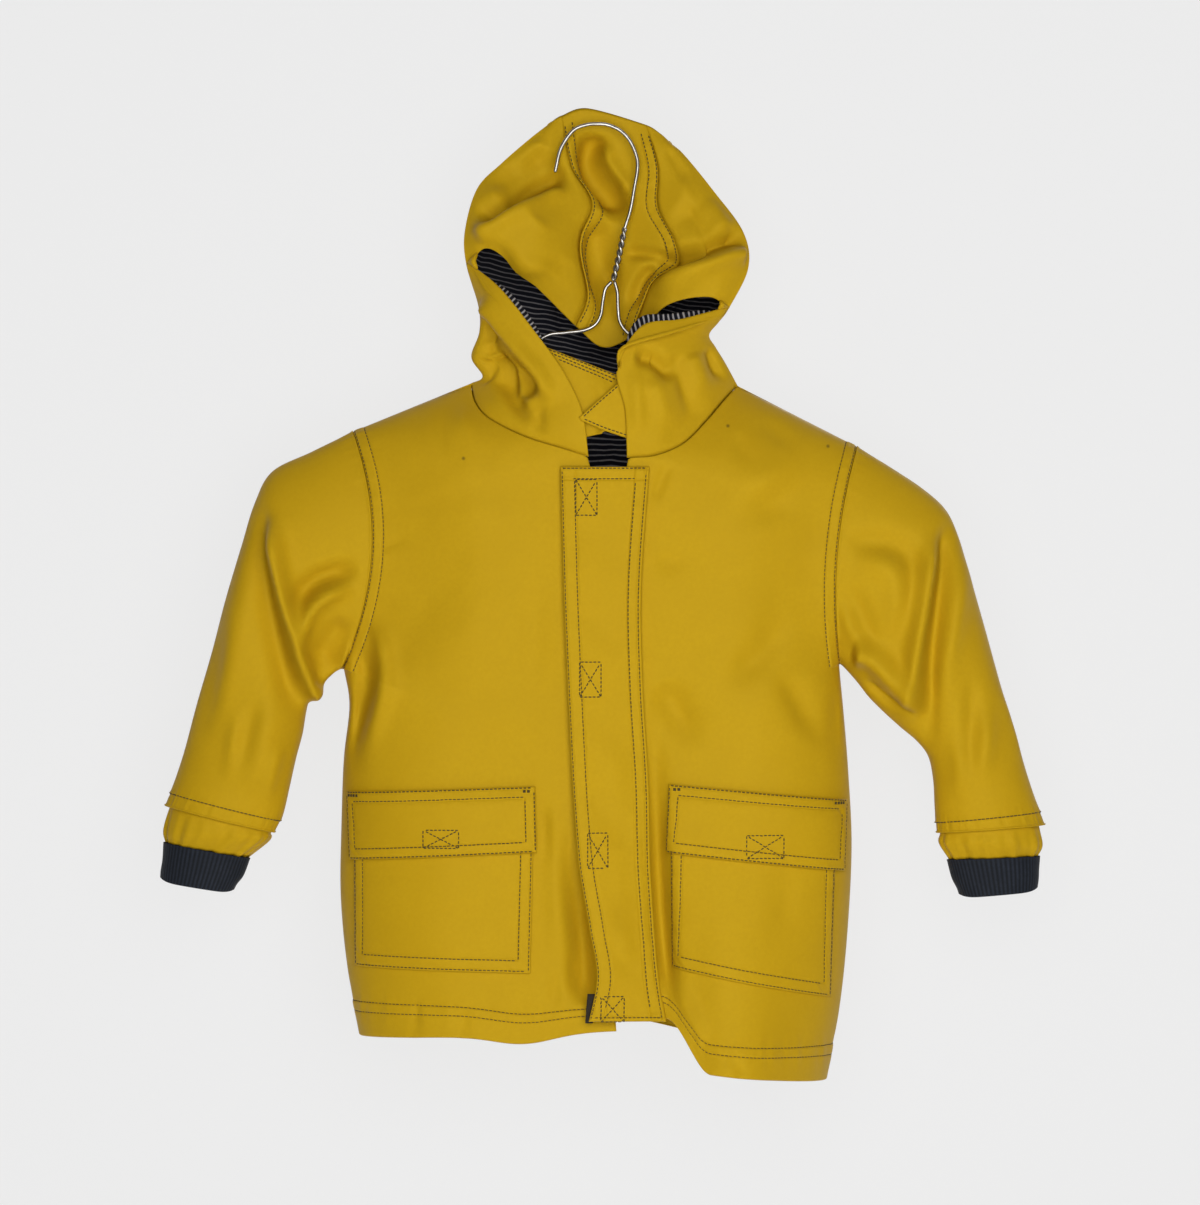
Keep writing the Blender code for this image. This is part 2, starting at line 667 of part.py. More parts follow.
# ---------------------------------------------------------------- assembly
def make_body():
    """Fronts, back, sleeves and hood: pieces that share seams."""
    fronts = {side: panel(side, "front") for side in SIDE_LINE}
    backs = {side: panel(side, "back") for side in SIDE_LINE}
    plunge = BODY_ROWS - NECK_ROWS
    backs["left"][: plunge + 1, -1] = backs["right"][: plunge + 1, -1]
    sleeves = {side: ring_grid(SLEEVE[side], 2 * ARM_ROWS) for side in SLEEVE}
    back = hood_back()
    flap = hood_flap(back)
    back[-1] = flap[-1]
    collars = {side: hood_collar(side, back) for side in FACE_EDGE}
    lapel = hood_lapel(collars["left"])
    low, high = GUSSET

    sheets = [
        Sheet("front_panel_right", [(fronts["right"], False)]),
        Sheet("front_panel_left", [(fronts["left"], True)]),
        Sheet("back_panel", [(backs["right"], True), (backs["left"], False)]),
        Sheet("sleeve_right", [(sleeves["right"], True)]),
        Sheet("sleeve_left", [(sleeves["left"], False)]),
        Sheet("hood_centre", [(back[:, low : high + 1], True), (flap[:, low : high + 1], False)]),
        Sheet(
            "hood_side_right",
            [(back[:, : low + 1], True), (flap[:, : low + 1], False), (collars["right"], False)],
        ),
        Sheet(
            "hood_side_left",
            [(back[:, high:], True), (flap[:, high:], False), (collars["left"], True), (lapel, True)],
        ),
    ]
    for sheet, side in ((sheets[3], "right"), (sheets[4], "left")):
        for turn, times in ARMPIT_EASE:
            for way in (-1, 1):
                sheet.ease[key(sleeves[side][0, ARM_ROWS + way * turn])] = times
    normal = shared_normals(sheets)
    for sheet in sheets:
        sheet.build(normal)
    return {sheet.name: sheet for sheet in sheets}, back, backs, normal


def make_linings(back, backs, normal):
    """Striped jersey inside the hood's back and inside the back panel below the neck."""
    top = HOOD_LINING_TOP
    hood = Sheet("hood_lining", [(back[: top + 1, 1:-1], True)], "lining", LINING)
    hood.build(normal, -(CLOTH + LIFT))
    plunge = BODY_ROWS - NECK_ROWS
    rows, columns = slice(plunge - NECK_LINING_ROWS, plunge + 1), slice(NECK_LINING_FROM, None)
    neck = Sheet(
        "back_neck_lining",
        [(backs["right"][rows, columns], True), (backs["left"][rows, columns], False)],
        "lining",
        LINING,
    )
    neck.build(normal, -(CLOTH + LIFT))


def make_pockets(sheets):
    for side in POCKET:
        ground = Ground([sheets["front_panel_" + side]], POCKET_REACH)
        ground.add(slab("pocket_" + side, patch(ground, POCKET[side], POCKET_CELLS), CLOTH))
        slab("pocket_flap_" + side, patch(ground, POCKET_FLAP[side], POCKET_FLAP_CELLS), CLOTH)


def make_storm_flap(sheets):
    """The flap over the front opening: sewn on the left front, free on the right one."""
    ground = Ground([sheets["front_panel_right"], sheets["front_panel_left"]], STORM_REACH)
    rows = curve(STORM_FLAP, 2)
    shares = np.arange(STORM_STEPS + 1) / STORM_STEPS
    grid = np.zeros((len(rows), len(shares), 3))
    for r, (z, free, sewn, stand) in enumerate(rows):
        for c, share in enumerate(shares):
            x = free + (sewn - free) * share
            y = ground.front(x, min(z, STORM_TOP))
            grid[r, c] = (x, ground.front(free, z) if y is None else y, z)
        grid[r, :, 1] = np.minimum.accumulate(grid[r, ::-1, 1])[::-1] - LIFT
        grid[r, :, 1] -= stand * smooth(1 - shares)
    slab("storm_flap", grid, CLOTH)
    tape = np.zeros((4, 2, 3))
    for r, share in enumerate(np.linspace(0, 1, len(tape))):
        z, *edges = np.array(TAPE[0]) * (1 - share) + np.array(TAPE[1]) * share
        depth = np.interp(z, rows[:, 0], grid[:, 0, 1]) + TAPE_BEHIND
        for c, x in enumerate(edges):
            tape[r, c] = (x, depth, z)
    slab("flap_fastener_tape", tape, TAPE_THICK, "tape")


def make_neck_pieces():
    """The band across the throat and the tab that fastens over it."""
    band = [curve([left, right], 5) for left, right in THROAT_BAND]
    slab("throat_band", np.array(band), TRIM)
    tab = [curve([low, high], 4) for high, low in CHIN_TAB]
    slab("chin_tab", np.array(tab), TRIM)


def make_cuffs():
    for side in BAND:
        band = Sheet("sleeve_band_" + side, [(ring_grid(BAND[side], CUFF_SIDES), side == "right")])
        cuff = Sheet("rib_cuff_" + side, [(ring_grid(CUFF[side], CUFF_SIDES), side == "right")], "rib", RIB)
        normal = shared_normals([band, cuff])
        band.build(normal)
        cuff.build(normal)


def make_hanger():
    """One wire on the real thing; here its stretches are solids that meet with a small gap."""
    tube("hanger_hook", curve([(x, z) for x, z in HOOK], 3), WIRE / 2)
    tube("hanger_twist", curve(TWIST, 3), TWIST_RADIUS)
    ends = {}
    for side in LEG:
        sign = -1 if side == "right" else 1
        top = [np.array(FRONT_NECK[side][-1])[[0, 2]]] + [np.array(s[:2], float) for s in SLEEVE[side][:3]]
        under = []
        for i, point in enumerate(top):
            before, after = top[max(0, i - 1)], top[min(len(top) - 1, i + 1)]
            run = (after - before) / np.linalg.norm(after - before)
            under.append(point + np.array((sign * run[1], -sign * run[0])) * WIRE_UNDER)
        last, previous = under[-1], under[-2]
        tip = previous + (last - previous) * WIRE_TIP_REACH
        run = (last - previous) / np.linalg.norm(last - previous)
        down = np.array((sign * run[1], -sign * run[0]))
        centre = tip + down * WIRE_BEND
        turns = np.linspace(0, WIRE_TURN, WIRE_BEND_STEPS)
        bend = [centre + (run * math.sin(a) - down * math.cos(a)) * WIRE_BEND for a in turns]
        path = curve(LEG[side] + [tuple(p) for p in under[:-1]], 2)[:-1]
        path = np.vstack([path, under[-2], np.array(bend)])
        tube("hanger_shoulder_" + side, path, WIRE / 2)
        away = path[-1] - path[-2]
        ends[side] = path[-1] + away / np.linalg.norm(away) * WIRE_GAP
    tube("hanger_bar", np.linspace(ends["right"], ends["left"], 6), WIRE / 2)


def main():
    clear_scene()
    sheets, back, backs, normal = make_body()
    make_linings(back, backs, normal)
    make_pockets(sheets)
    make_storm_flap(sheets)
    make_neck_pieces()
    make_cuffs()
    make_hanger()


main()
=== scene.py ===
"""Child's hooded rain jacket on a wire hanger: the looks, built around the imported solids.

Tables are in millimetres in the frame of the solids: X to the viewer's right, -Y to the front, Z up,
origin at the underside of the hook's top. Right and left are the wearer's, so "right" lies at -X.
"""

import math

import bmesh
import bpy
import numpy as np
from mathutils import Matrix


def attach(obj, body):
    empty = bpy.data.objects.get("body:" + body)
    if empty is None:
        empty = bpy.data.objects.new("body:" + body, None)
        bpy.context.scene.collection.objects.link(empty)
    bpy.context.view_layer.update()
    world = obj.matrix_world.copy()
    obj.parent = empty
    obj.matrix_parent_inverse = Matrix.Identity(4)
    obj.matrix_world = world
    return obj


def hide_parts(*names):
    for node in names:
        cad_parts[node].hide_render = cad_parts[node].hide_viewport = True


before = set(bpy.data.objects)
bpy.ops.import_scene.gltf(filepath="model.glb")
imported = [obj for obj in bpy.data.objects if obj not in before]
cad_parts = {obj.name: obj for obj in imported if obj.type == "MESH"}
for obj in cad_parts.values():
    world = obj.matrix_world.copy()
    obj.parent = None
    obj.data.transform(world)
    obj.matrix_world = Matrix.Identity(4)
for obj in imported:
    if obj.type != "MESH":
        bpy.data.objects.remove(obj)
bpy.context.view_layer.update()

MM = 0.001

# ==== Camera: straight on from three metres, the jacket's hanging plane fills 750 mm of the width ====
camera = bpy.data.objects.new("camera", bpy.data.cameras.new("camera"))
camera.data.sensor_fit = "HORIZONTAL"
camera.data.sensor_width = 36.0
camera.data.lens = 144.0
camera.location = (0.0019, -3.0, -0.2978)
camera.rotation_euler = (math.pi / 2, 0, 0)
bpy.context.scene.collection.objects.link(camera)
bpy.context.scene.camera = camera


# ==== Room: a pale wall close behind the jacket that sweeps into a pale floor ====
# One matt sheet, curved where wall and floor meet. It is clear from behind, so that it hides nothing.
def grid_mesh(name, grids, material=None, painted_shade=None):
    """A mesh from grids of points in millimetres, each (points, flip); borders that meet are welded.
    The last argument holds one value for each point, which the material reads to paint shade."""
    points, faces, count = [], [], 0
    for grid, flip in grids:
        rows, columns = grid.shape[:2]
        index = count + np.arange(rows * columns).reshape(rows, columns)
        quads = np.stack([index[:-1, :-1], index[:-1, 1:], index[1:, 1:], index[1:, :-1]], -1).reshape(-1, 4)
        points.append(grid.reshape(-1, 3) * MM)
        faces.append(quads[:, ::-1] if flip else quads)
        count += rows * columns
    mesh = bpy.data.meshes.new(name)
    mesh.from_pydata(np.concatenate(points), [], np.concatenate(faces))
    if painted_shade is not None:
        mesh.attributes.new("painted_shade", "FLOAT", "POINT").data.foreach_set("value", painted_shade.ravel())
    built = bmesh.new()
    built.from_mesh(mesh)
    bmesh.ops.remove_doubles(built, verts=built.verts, dist=0.02 * MM)
    bmesh.ops.dissolve_degenerate(built, edges=built.edges, dist=0.01 * MM)
    built.to_mesh(mesh)
    built.free()
    mesh.shade_smooth()
    if material:
        mesh.materials.append(material)
    piece = bpy.data.objects.new(name, mesh)
    bpy.context.scene.collection.objects.link(piece)
    return piece


def shader(name, colour, roughness):
    """A new material, its nodes, its links and its shader."""
    made = bpy.data.materials.new(name)
    made.use_nodes = True
    nodes, links = made.node_tree.nodes, made.node_tree.links
    surface = nodes["Principled BSDF"]
    surface.inputs["Base Color"].default_value = (*colour, 1)
    surface.inputs["Roughness"].default_value = roughness
    return made, nodes, links, surface


def put(tree, kind, inputs=(), **settings):
    """A node of this kind with its settings; inputs are (socket, value or the output that feeds it)."""
    node = tree.nodes.new("ShaderNode" + kind)
    for key, value in settings.items():
        setattr(node, key, value)
    for socket, value in inputs:
        if isinstance(value, bpy.types.NodeSocket):
            tree.links.new(value, node.inputs[socket])
        else:
            node.inputs[socket].default_value = value
    return node


def calc(tree, operation, *values):
    """The result of a sum on values or on outputs of other nodes."""
    return put(tree, "Math", enumerate(values), operation=operation).outputs[0]


WALL_Y, FLOOR_Z, SWEEP, ROOM = 95.0, -1000.0, 400.0, 4000.0
WALL_PAINT, WALL_GLOW = (0.845, 0.845, 0.845), 0.92
room_paint, nodes, links, surface = shader("room_paint", WALL_PAINT, 0.9)
surface.inputs["Specular IOR Level"].default_value = 0.0
light_path = nodes.new("ShaderNodeLightPath")
tree = room_paint.node_tree
seen = calc(tree, "MAXIMUM", light_path.outputs["Is Camera Ray"], light_path.outputs["Is Glossy Ray"])
glow = put(tree, "Emission", [("Color", (*WALL_PAINT, 1))])
part = calc(tree, "MULTIPLY", seen, WALL_GLOW)
lit = put(tree, "MixShader", [(0, part), (1, surface.outputs[0]), (2, glow.outputs[0])])
clear = nodes.new("ShaderNodeBsdfTransparent")
behind = nodes.new("ShaderNodeNewGeometry").outputs["Backfacing"]
either = put(tree, "MixShader", [(0, behind), (1, lit.outputs[0]), (2, clear.outputs[0])])
links.new(either.outputs[0], nodes["Material Output"].inputs["Surface"])
turn = np.linspace(0, math.pi / 2, 13)
profile_y = np.concatenate([[WALL_Y], WALL_Y - SWEEP * (1 - np.cos(turn)), [-ROOM]])
profile_z = np.concatenate([[ROOM / 2], FLOOR_Z + SWEEP * (1 - np.sin(turn)), [FLOOR_Z]])
across = np.array([-ROOM, ROOM])
sweep = np.stack(np.broadcast_arrays(across[None, :], profile_y[:, None], profile_z[:, None]), -1)
room = grid_mesh("room", [(sweep, True)], room_paint)
room.visible_shadow = False

# A broad soft lamp beside the camera, a dim one behind for the back, and an even white world.
for name, place, aim, size, power in (
    ("key_lamp", (0.12, -1.4, -0.22), (0, 0, -0.32), 1.3, 19.3),
    ("back_lamp", (0.9, 2.4, 0.6), (0, 0, -0.3), 1.6, 20.0),
):
    lamp = bpy.data.objects.new(name, bpy.data.lights.new(name, "AREA"))
    lamp.data.shape = "DISK"
    lamp.data.size = size
    lamp.data.energy = power
    lamp.location = place
    lamp.visible_camera = False
    direction = np.array(aim) - np.array(place)
    lamp.rotation_euler = (
        math.atan2(math.hypot(direction[0], direction[1]), -direction[2]),
        0,
        math.atan2(direction[1], direction[0]) - math.pi / 2,
    )
    bpy.context.scene.collection.objects.link(lamp)
world = bpy.data.worlds.new("daylight")
world.use_nodes = True
world.node_tree.nodes["Background"].inputs["Color"].default_value = (1, 1, 1, 1)
world.node_tree.nodes["Background"].inputs["Strength"].default_value = 0.09
bpy.context.scene.world = world
bpy.context.scene.view_settings.view_transform = "Standard"


# ==== Coated cloth: mustard polyurethane on a cotton jersey ====
# The coat is smooth and half matt, with a faint grain from the knit under it and slight cloudiness.
def group(name, *sockets):
    """A new shader node group; each socket is (name, "in" or "out", kind, default)."""
    tree = bpy.data.node_groups.new(name, "ShaderNodeTree")
    for label, way, kind, default in sockets:
        made = tree.interface.new_socket(
            label, in_out="INPUT" if way == "in" else "OUTPUT", socket_type="NodeSocket" + kind
        )
        if default is not None:
            made.default_value = default
    return tree, tree.nodes.new("NodeGroupInput"), tree.nodes.new("NodeGroupOutput")


def use(material, tree, inputs=()):
    """A node group placed in a material."""
    return put(material.node_tree, "Group", inputs, node_tree=tree)


def noise(tree, place, scale, detail):
    """Soft noise from 0 to 1 at this place."""
    return put(tree, "TexNoise", [("Vector", place), ("Scale", scale), ("Detail", detail)]).outputs["Fac"]


def mixed(tree, share, low, high):
    """A colour: low where the share is 0, high where it is 1."""
    return put(tree, "Mix", [(0, share), (6, low), (7, high)], data_type="RGBA").outputs[2]


def bumped(material, height, strength, depth):
    """Lets this height, at this depth in millimetres, stand out on the material."""
    tree = material.node_tree
    bump = put(tree, "Bump", [("Height", height), ("Strength", strength), ("Distance", depth * MM)])
    tree.links.new(bump.outputs[0], tree.nodes["Principled BSDF"].inputs["Normal"])


# Cloudiness: two sizes of soft noise mix a colour with its darker shade and vary the roughness.
clouded, ins, outs = group(
    "clouded",
    ("Place", "in", "Vector", None),
    ("Colour", "in", "Color", None),
    ("Shade", "in", "Color", None),
    ("Size", "in", "Float", 30.0),
    ("Colour", "out", "Color", None),
    ("Roughness", "out", "Float", None),
)
broad = noise(clouded, ins.outputs["Place"], ins.outputs["Size"], 3.0)
small = noise(clouded, ins.outputs["Place"], 420.0, 2.0)
both = calc(clouded, "MULTIPLY", broad, small)
share = put(clouded, "MapRange", [("Value", both), ("From Min", 0.10), ("From Max", 0.42)])
blend = mixed(clouded, share.outputs[0], ins.outputs["Shade"], ins.outputs["Colour"])
rough = put(clouded, "MapRange", [("Value", broad), ("To Min", 0.44), ("To Max", 0.58)])
clouded.links.new(blend, outs.inputs["Colour"])
clouded.links.new(rough.outputs[0], outs.inputs["Roughness"])

# Grain: the height of a fine pebbling with slow ripples under it.
grained, ins, outs = group(
    "grained",
    ("Place", "in", "Vector", None),
    ("Pebble", "in", "Float", 1900.0),
    ("Ripple", "in", "Float", 120.0),
    ("Height", "out", "Float", None),
)
pebble = noise(grained, ins.outputs["Place"], ins.outputs["Pebble"], 1.0)
ripple = noise(grained, ins.outputs["Place"], ins.outputs["Ripple"], 4.0)
total = calc(grained, "ADD", calc(grained, "MULTIPLY", pebble, 0.3), ripple)
grained.links.new(total, outs.inputs["Height"])

YELLOW, YELLOW_SHADE = (0.500, 0.302, 0.0080), (0.470, 0.280, 0.0070)
SPECKS = ((-82.5, -208.7), (81.3, -188.2), (143.7, -200.6))  # small marks on the chest, x and z
SPECK, SPECK_FROM, SPECK_TO = (0.10, 0.06, 0.01, 1), 0.5, 1.5  # colour, full and last distance
MARK = 0.75  # how strongly they darken the coat, on the front only

coated, nodes, links, surface = shader("coated_cloth", YELLOW, 0.5)
tree = coated.node_tree
place = nodes.new("ShaderNodeTexCoord").outputs["Object"]
shades = [("Colour", (*YELLOW, 1)), ("Shade", (*YELLOW_SHADE, 1))]
cloud = use(coated, clouded, [("Place", place), *shades, ("Size", 26.0)])
flat_place = put(tree, "VectorMath", [(0, place), (1, (1, 0, 1))], operation="MULTIPLY").outputs[0]
depth = put(tree, "SeparateXYZ", [(0, place)]).outputs["Y"]
strength = calc(tree, "MULTIPLY", calc(tree, "LESS_THAN", depth, 0.0), MARK)
stained = cloud.outputs["Colour"]
for x, z in SPECKS:
    spot = [(0, flat_place), (1, (x * MM, 0, z * MM))]
    away = put(tree, "VectorMath", spot, operation="DISTANCE").outputs["Value"]
    reach = [
        ("From Min", SPECK_FROM * MM), ("From Max", SPECK_TO * MM), ("To Min", strength), ("To Max", 0.0)
    ]
    stained = mixed(tree, put(tree, "MapRange", [("Value", away), *reach]).outputs[0], stained, SPECK)
links.new(stained, surface.inputs["Base Color"])
links.new(cloud.outputs["Roughness"], surface.inputs["Roughness"])
bumped(coated, use(coated, grained, [("Place", place)]).outputs["Height"], 0.22, 0.35)
surface.inputs["Specular IOR Level"].default_value = 0.20
surface.inputs["Specular Tint"].default_value = (1.0, 0.78, 0.15, 1)

THREAD = (0.055, 0.038, 0.005)
THREAD_DARK, THREAD_PALE = (0.032, 0.022, 0.003, 1), (0.078, 0.054, 0.007, 1)
thread, nodes, links, surface = shader("sewing_thread", THREAD, 0.75)
place = nodes.new("ShaderNodeTexCoord").outputs["Object"]
twist = put(thread.node_tree, "TexNoise", [("Vector", place), ("Scale", 2600.0)])
tint = mixed(thread.node_tree, twist.outputs["Fac"], THREAD_DARK, THREAD_PALE)
links.new(tint, surface.inputs["Base Color"])


# ==== Fronts: right and left, each one piece from hem to shoulder ====
# Cut from coated cloth, closed at the side and shoulder seams. The hem is turned up and stitched twice,
# and the armhole's seam allowance is stitched down on the body side.
def through(points, at):
    """Catmull-Rom spline: 0 is the first point, 1 the second; between them a cubic whose end slopes
    are half the difference of the neighbouring points."""
    points = np.asarray(points, float)
    ends = np.concatenate([[2 * points[0] - points[1]], points, [2 * points[-1] - points[-2]]])
    at = np.clip(np.asarray(at, float), 0, len(points) - 1)
    first = np.minimum(at.astype(int), len(points) - 2)
    t = (at - first).reshape(at.shape + (1,) * (points.ndim - 1))
    a, b, c, d = (ends[first + k] for k in range(4))
    return 0.5 * (2 * b + (c - a) * t + (2 * a - 5 * b + 4 * c - d) * t**2 + (3 * b - a - 3 * c + d) * t**3)


def lengths(path):
    """How far along the path each of its points lies."""
    return np.concatenate([[0], np.cumsum(np.linalg.norm(np.diff(path, axis=0), axis=1))])


def travelled(grid, axis):
    """How far along its column (axis 0) or its row (axis 1) each point of a grid lies."""
    step = np.linalg.norm(np.diff(grid, axis=axis), axis=-1)
    start = np.zeros_like(step[:1] if axis == 0 else step[:, :1])
    return np.concatenate([start, np.cumsum(step, axis)], axis)


def between(at, run, rows):
    """Rows of values interpolated at these distances along their run."""
    return np.stack([np.interp(at, run, column) for column in rows.T], -1)


def evenly(points, shares):
    """Points at these shares of the length of the spline through the given points."""
    fine = through(points, np.linspace(0, len(points) - 1, 24 * len(points)))
    run = lengths(fine)
    return between(np.asarray(shares) * run[-1], run, fine)


def unit(vectors):
    """The vectors at length 1."""
    return vectors / np.maximum(np.linalg.norm(vectors, axis=-1, keepdims=True), 1e-9)


def rounded(t):
    """A quarter circle's height, flat from 1 on."""
    return np.sqrt(1 - (1 - np.clip(t, 0, 1)) ** 2)


def smooth(t):
    """An S from 0 to 1."""
    t = np.clip(t, 0, 1)
    return t * t * (3 - 2 * t)


def bell(distance, width):
    """A bell that is 1 at no distance and a third at the width."""
    return np.exp(-((distance / width) ** 2))


def strokes(x, z, table):
    """Soft ridges and troughs. Each runs along a smooth line in x and z, with a bell for a section whose
    two sides differ by its lean, and fades in and out over the first and last shares of its length."""
    total = np.zeros(np.broadcast(x, z).shape)
    for height, width, lean, fade_in, fade_out, line in table:
        path = through(line, np.linspace(0, len(line) - 1, 10 * len(line)))
        reach = 2.6 * width * (1 + abs(lean))
        low, high = path.min(0) - reach, path.max(0) + reach
        near = (x > low[0]) & (x < high[0]) & (z > low[1]) & (z < high[1])
        spot = np.stack([x[near], z[near]], -1)
        if not len(spot):
            continue
        start, step = path[:-1], np.diff(path, axis=0)
        square = (step**2).sum(-1)
        offset = spot[:, None] - start
        t = np.clip((offset * step).sum(-1) / square, 0, 1)
        gap = offset - t[..., None] * step
        best = (gap**2).sum(-1).argmin(1)
        pick = np.arange(len(spot)), best
        side = np.sign(step[best, 0] * gap[pick][:, 1] - step[best, 1] * gap[pick][:, 0])
        along = (best + t[pick]) / len(step)
        ends = smooth(along / max(fade_in, 0.01)) * smooth((1 - along) / max(fade_out, 0.01))
        total[near] += height * bell(np.linalg.norm(gap[pick], axis=-1), width * (1 + lean * side)) * ends
    return total


def waves(x, z, pitch, height, seed):
    """Gentle unevenness: nine plane waves in drawn directions, around the pitch in length."""
    draw = np.random.default_rng(seed)
    total = 0
    for _ in range(9):
        way, phase = draw.uniform(0, 2 * math.pi, 2)
        length = pitch * draw.uniform(0.7, 1.6)
        total = total + np.sin(2 * math.pi * (x * math.cos(way) + z * math.sin(way)) / length + phase)
    return total * height / 3


def puckers(along, away, seed, height=0.22, reach=7.0):
    """Small ripples across a line of stitches that die out away from it."""
    draw = np.random.default_rng(seed)
    total = 0
    for pitch in (5.5, 7.7, 11.3, 17.9):
        total = total + np.sin(2 * math.pi * along / pitch + draw.uniform(0, 2 * math.pi))
    return total / 2 * height * bell(away, reach)


def spacing(length, marks, coarse, fine=0.55):
    """Distances from 0 to length: fine steps within 2 mm of each mark, growing to coarse ones between."""
    marks = np.asarray(sorted(marks), float)
    fine_run = np.linspace(0, length, int(length / 0.05) + 1)
    away = np.abs(fine_run[:, None] - marks).min(1) if len(marks) else np.full(len(fine_run), 99.0)
    step = fine + (coarse - fine) * smooth((away - 1.5) / 6)
    count = np.concatenate([[0], np.cumsum(0.05 / step[1:])])
    inner = np.interp(np.linspace(0, count[-1], int(count[-1]) + 2), count, fine_run)
    return np.unique(np.concatenate([inner, marks[(marks >= 0) & (marks <= length)]]).round(3))


def outward(grid, flip=False):
    """Unit normal at each point of a grid, from the steps along its rows and columns."""
    normal = unit(np.cross(np.gradient(grid, axis=1), np.gradient(grid, axis=0)))
    return -normal if flip else normal


def at_grid(grid, row, column):
    """Points between a grid's own, at these fractional rows and columns."""
    rows, columns = grid.shape[:2]
    row, column = np.clip(row, 0, rows - 1.001), np.clip(column, 0, columns - 1.001)
    i, j = row.astype(int), column.astype(int)
    s, t = (row - i)[..., None], (column - j)[..., None]
    low = grid[i, j] * (1 - t) + grid[i, j + 1] * t
    high = grid[i + 1, j] * (1 - t) + grid[i + 1, j + 1] * t
    return low * (1 - s) + high * s


STITCH_LONG, STITCH_PITCH, STITCH_THICK = 2.2, 2.6, 0.36


def stitching(name, lines):
    """One mesh of thread dashes. Each line is (points, outward normals); a dash is a four-sided spindle
    that dips into the cloth at both ends."""
    turn = np.linspace(0, 2 * math.pi, 4, endpoint=False)
    sections = np.array([(-0.5, 0.25, -0.32), (-0.34, 1.0, 0.02), (0.34, 1.0, 0.02), (0.5, 0.25, -0.32)])
    along = np.repeat(sections[:, 0] * STITCH_LONG, 4)
    over = np.repeat(sections[:, 2], 4) + np.outer(sections[:, 1], np.sin(turn)).ravel() * STITCH_THICK
    beside = np.outer(sections[:, 1], np.cos(turn)).ravel() * STITCH_THICK
    index = np.arange(16).reshape(4, 4)
    quads = np.stack([index[:-1], np.roll(index[:-1], -1, 1), np.roll(index[1:], -1, 1), index[1:]], -1)
    caps = [tuple(index[0][::-1]), tuple(index[-1])]
    points, faces, count = [], [], 0
    for path, normals in lines:
        run = lengths(path)
        centres = np.arange(STITCH_PITCH / 2, run[-1] - STITCH_LONG / 2, STITCH_PITCH)
        if not len(centres):
            continue
        spot, up = between(centres, run, path), between(centres, run, normals)
        tangent = unit(between(centres + 0.4, run, path) - spot)
        up = unit(up - (up * tangent).sum(1, keepdims=True) * tangent)
        across = np.cross(tangent, up)
        body = (
            spot[:, None]
            + along[None, :, None] * tangent[:, None]
            + beside[None, :, None] * across[:, None]
            + over[None, :, None] * up[:, None]
        )
        points.append(body.reshape(-1, 3) * MM)
        starts = count + 16 * np.arange(len(spot))
        faces += (quads.reshape(-1, 4)[None] + starts[:, None, None]).reshape(-1, 4).tolist()
        faces += [tuple(v + start for v in cap) for start in starts for cap in caps]
        count += 16 * len(spot)
    mesh = bpy.data.meshes.new(name)
    mesh.from_pydata(np.concatenate(points).tolist(), [], faces)
    mesh.materials.append(thread)
    piece = bpy.data.objects.new(name, mesh)
    bpy.context.scene.collection.objects.link(piece)
    built = bmesh.new()
    built.from_mesh(mesh)
    bmesh.ops.recalc_face_normals(built, faces=built.faces)
    built.to_mesh(mesh)
    built.free()
    mesh.shade_smooth()
    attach(piece, "root")
    return piece


def wall(piece, thickness, offset=-1.0):
    """Gives a sheet its thickness, laid behind its outer face."""
    solid = piece.modifiers.new("thickness", "SOLIDIFY")
    solid.thickness = thickness * MM
    solid.offset = offset
    solid.use_even_offset = False
    return piece


CHEST_DEPTH = {"front": 37.0, "back": 33.0}  # from the hanger's plane
HEM_DEPTH = {"front": 48.0, "back": 42.0}
CHEST_Z, HEM_Z, SHOULDER_ROLL = -260.0, -565.0, 95.0
SIDE_SWELL, ARM_SWELL = 0.45, 0.5
SIDE_ROWS, ARM_ROWS, NECK_ROWS = 6, 12, 5
BODY_ROWS, PLUNGE = SIDE_ROWS + ARM_ROWS, SIDE_ROWS + ARM_ROWS - NECK_ROWS
SIDE_LINE = {  # x and z from the hem to the underarm
    "right": [
        (-149, -567.5), (-157, -524), (-161, -480), (-160.5, -436), (-159, -395), (-155.5, -362), (-159, -339)
    ],
    "left": [(144, -595), (152.5, -550), (157.5, -502), (160, -450), (158, -405), (155, -367), (152, -336)],
}
CENTRE_FRONT = {
    "right": [(12, -561.5), (8, -500), (6, -420), (6, -320), (5, -250), (-6, -207.5)],
    "left": [(34, -553), (22, -500), (14, -420), (11, -320), (12, -250), (19.5, -208.5)],
}
CENTRE_BACK = [(6, -559), (6, -460), (6, -350), (5, -260), (5, -174)]
FRONT_NECK = {
    "right": [
        (-6, -36, -207.5), (-20, -35.5, -203), (-45, -31, -195), (-67, -22, -183.5), (-76, -12, -173),
        (-79, 0, -161)
    ],
    "left": [
        (19.5, -36, -208.5), (36, -35, -207), (54, -30, -199), (69, -20, -184), (80, -10, -171),
        (88, 0, -162.5)
    ],
}
BACK_NECK = {
    "right": [(5, 24, -174), (-30, 22, -172), (-58, 14, -167), (-73, 6, -163), (-79, 0, -161)],
    "left": [(5, 24, -174), (40, 22, -173), (68, 14, -169), (82, 6, -165), (88, 0, -162.5)],
}
ARMHOLE = {  # the sleeve's first ring: outer x, outer z, inner x, inner z, push, depth
    "right": (-152.5, -191, -159, -339, 16, 24),
    "left": (162.5, -200.5, 152, -336, -8, 24),
}
FLARE_X, FLARE_WIDTH, FLARE_DEPTH, FLARE_HEIGHT = 80.0, 34.0, 24.0, 190.0
DROP_FROM, DROP_TO, DROP_SHARE, DROP_HEIGHT = 42.0, 70.0, 0.80, 130.0
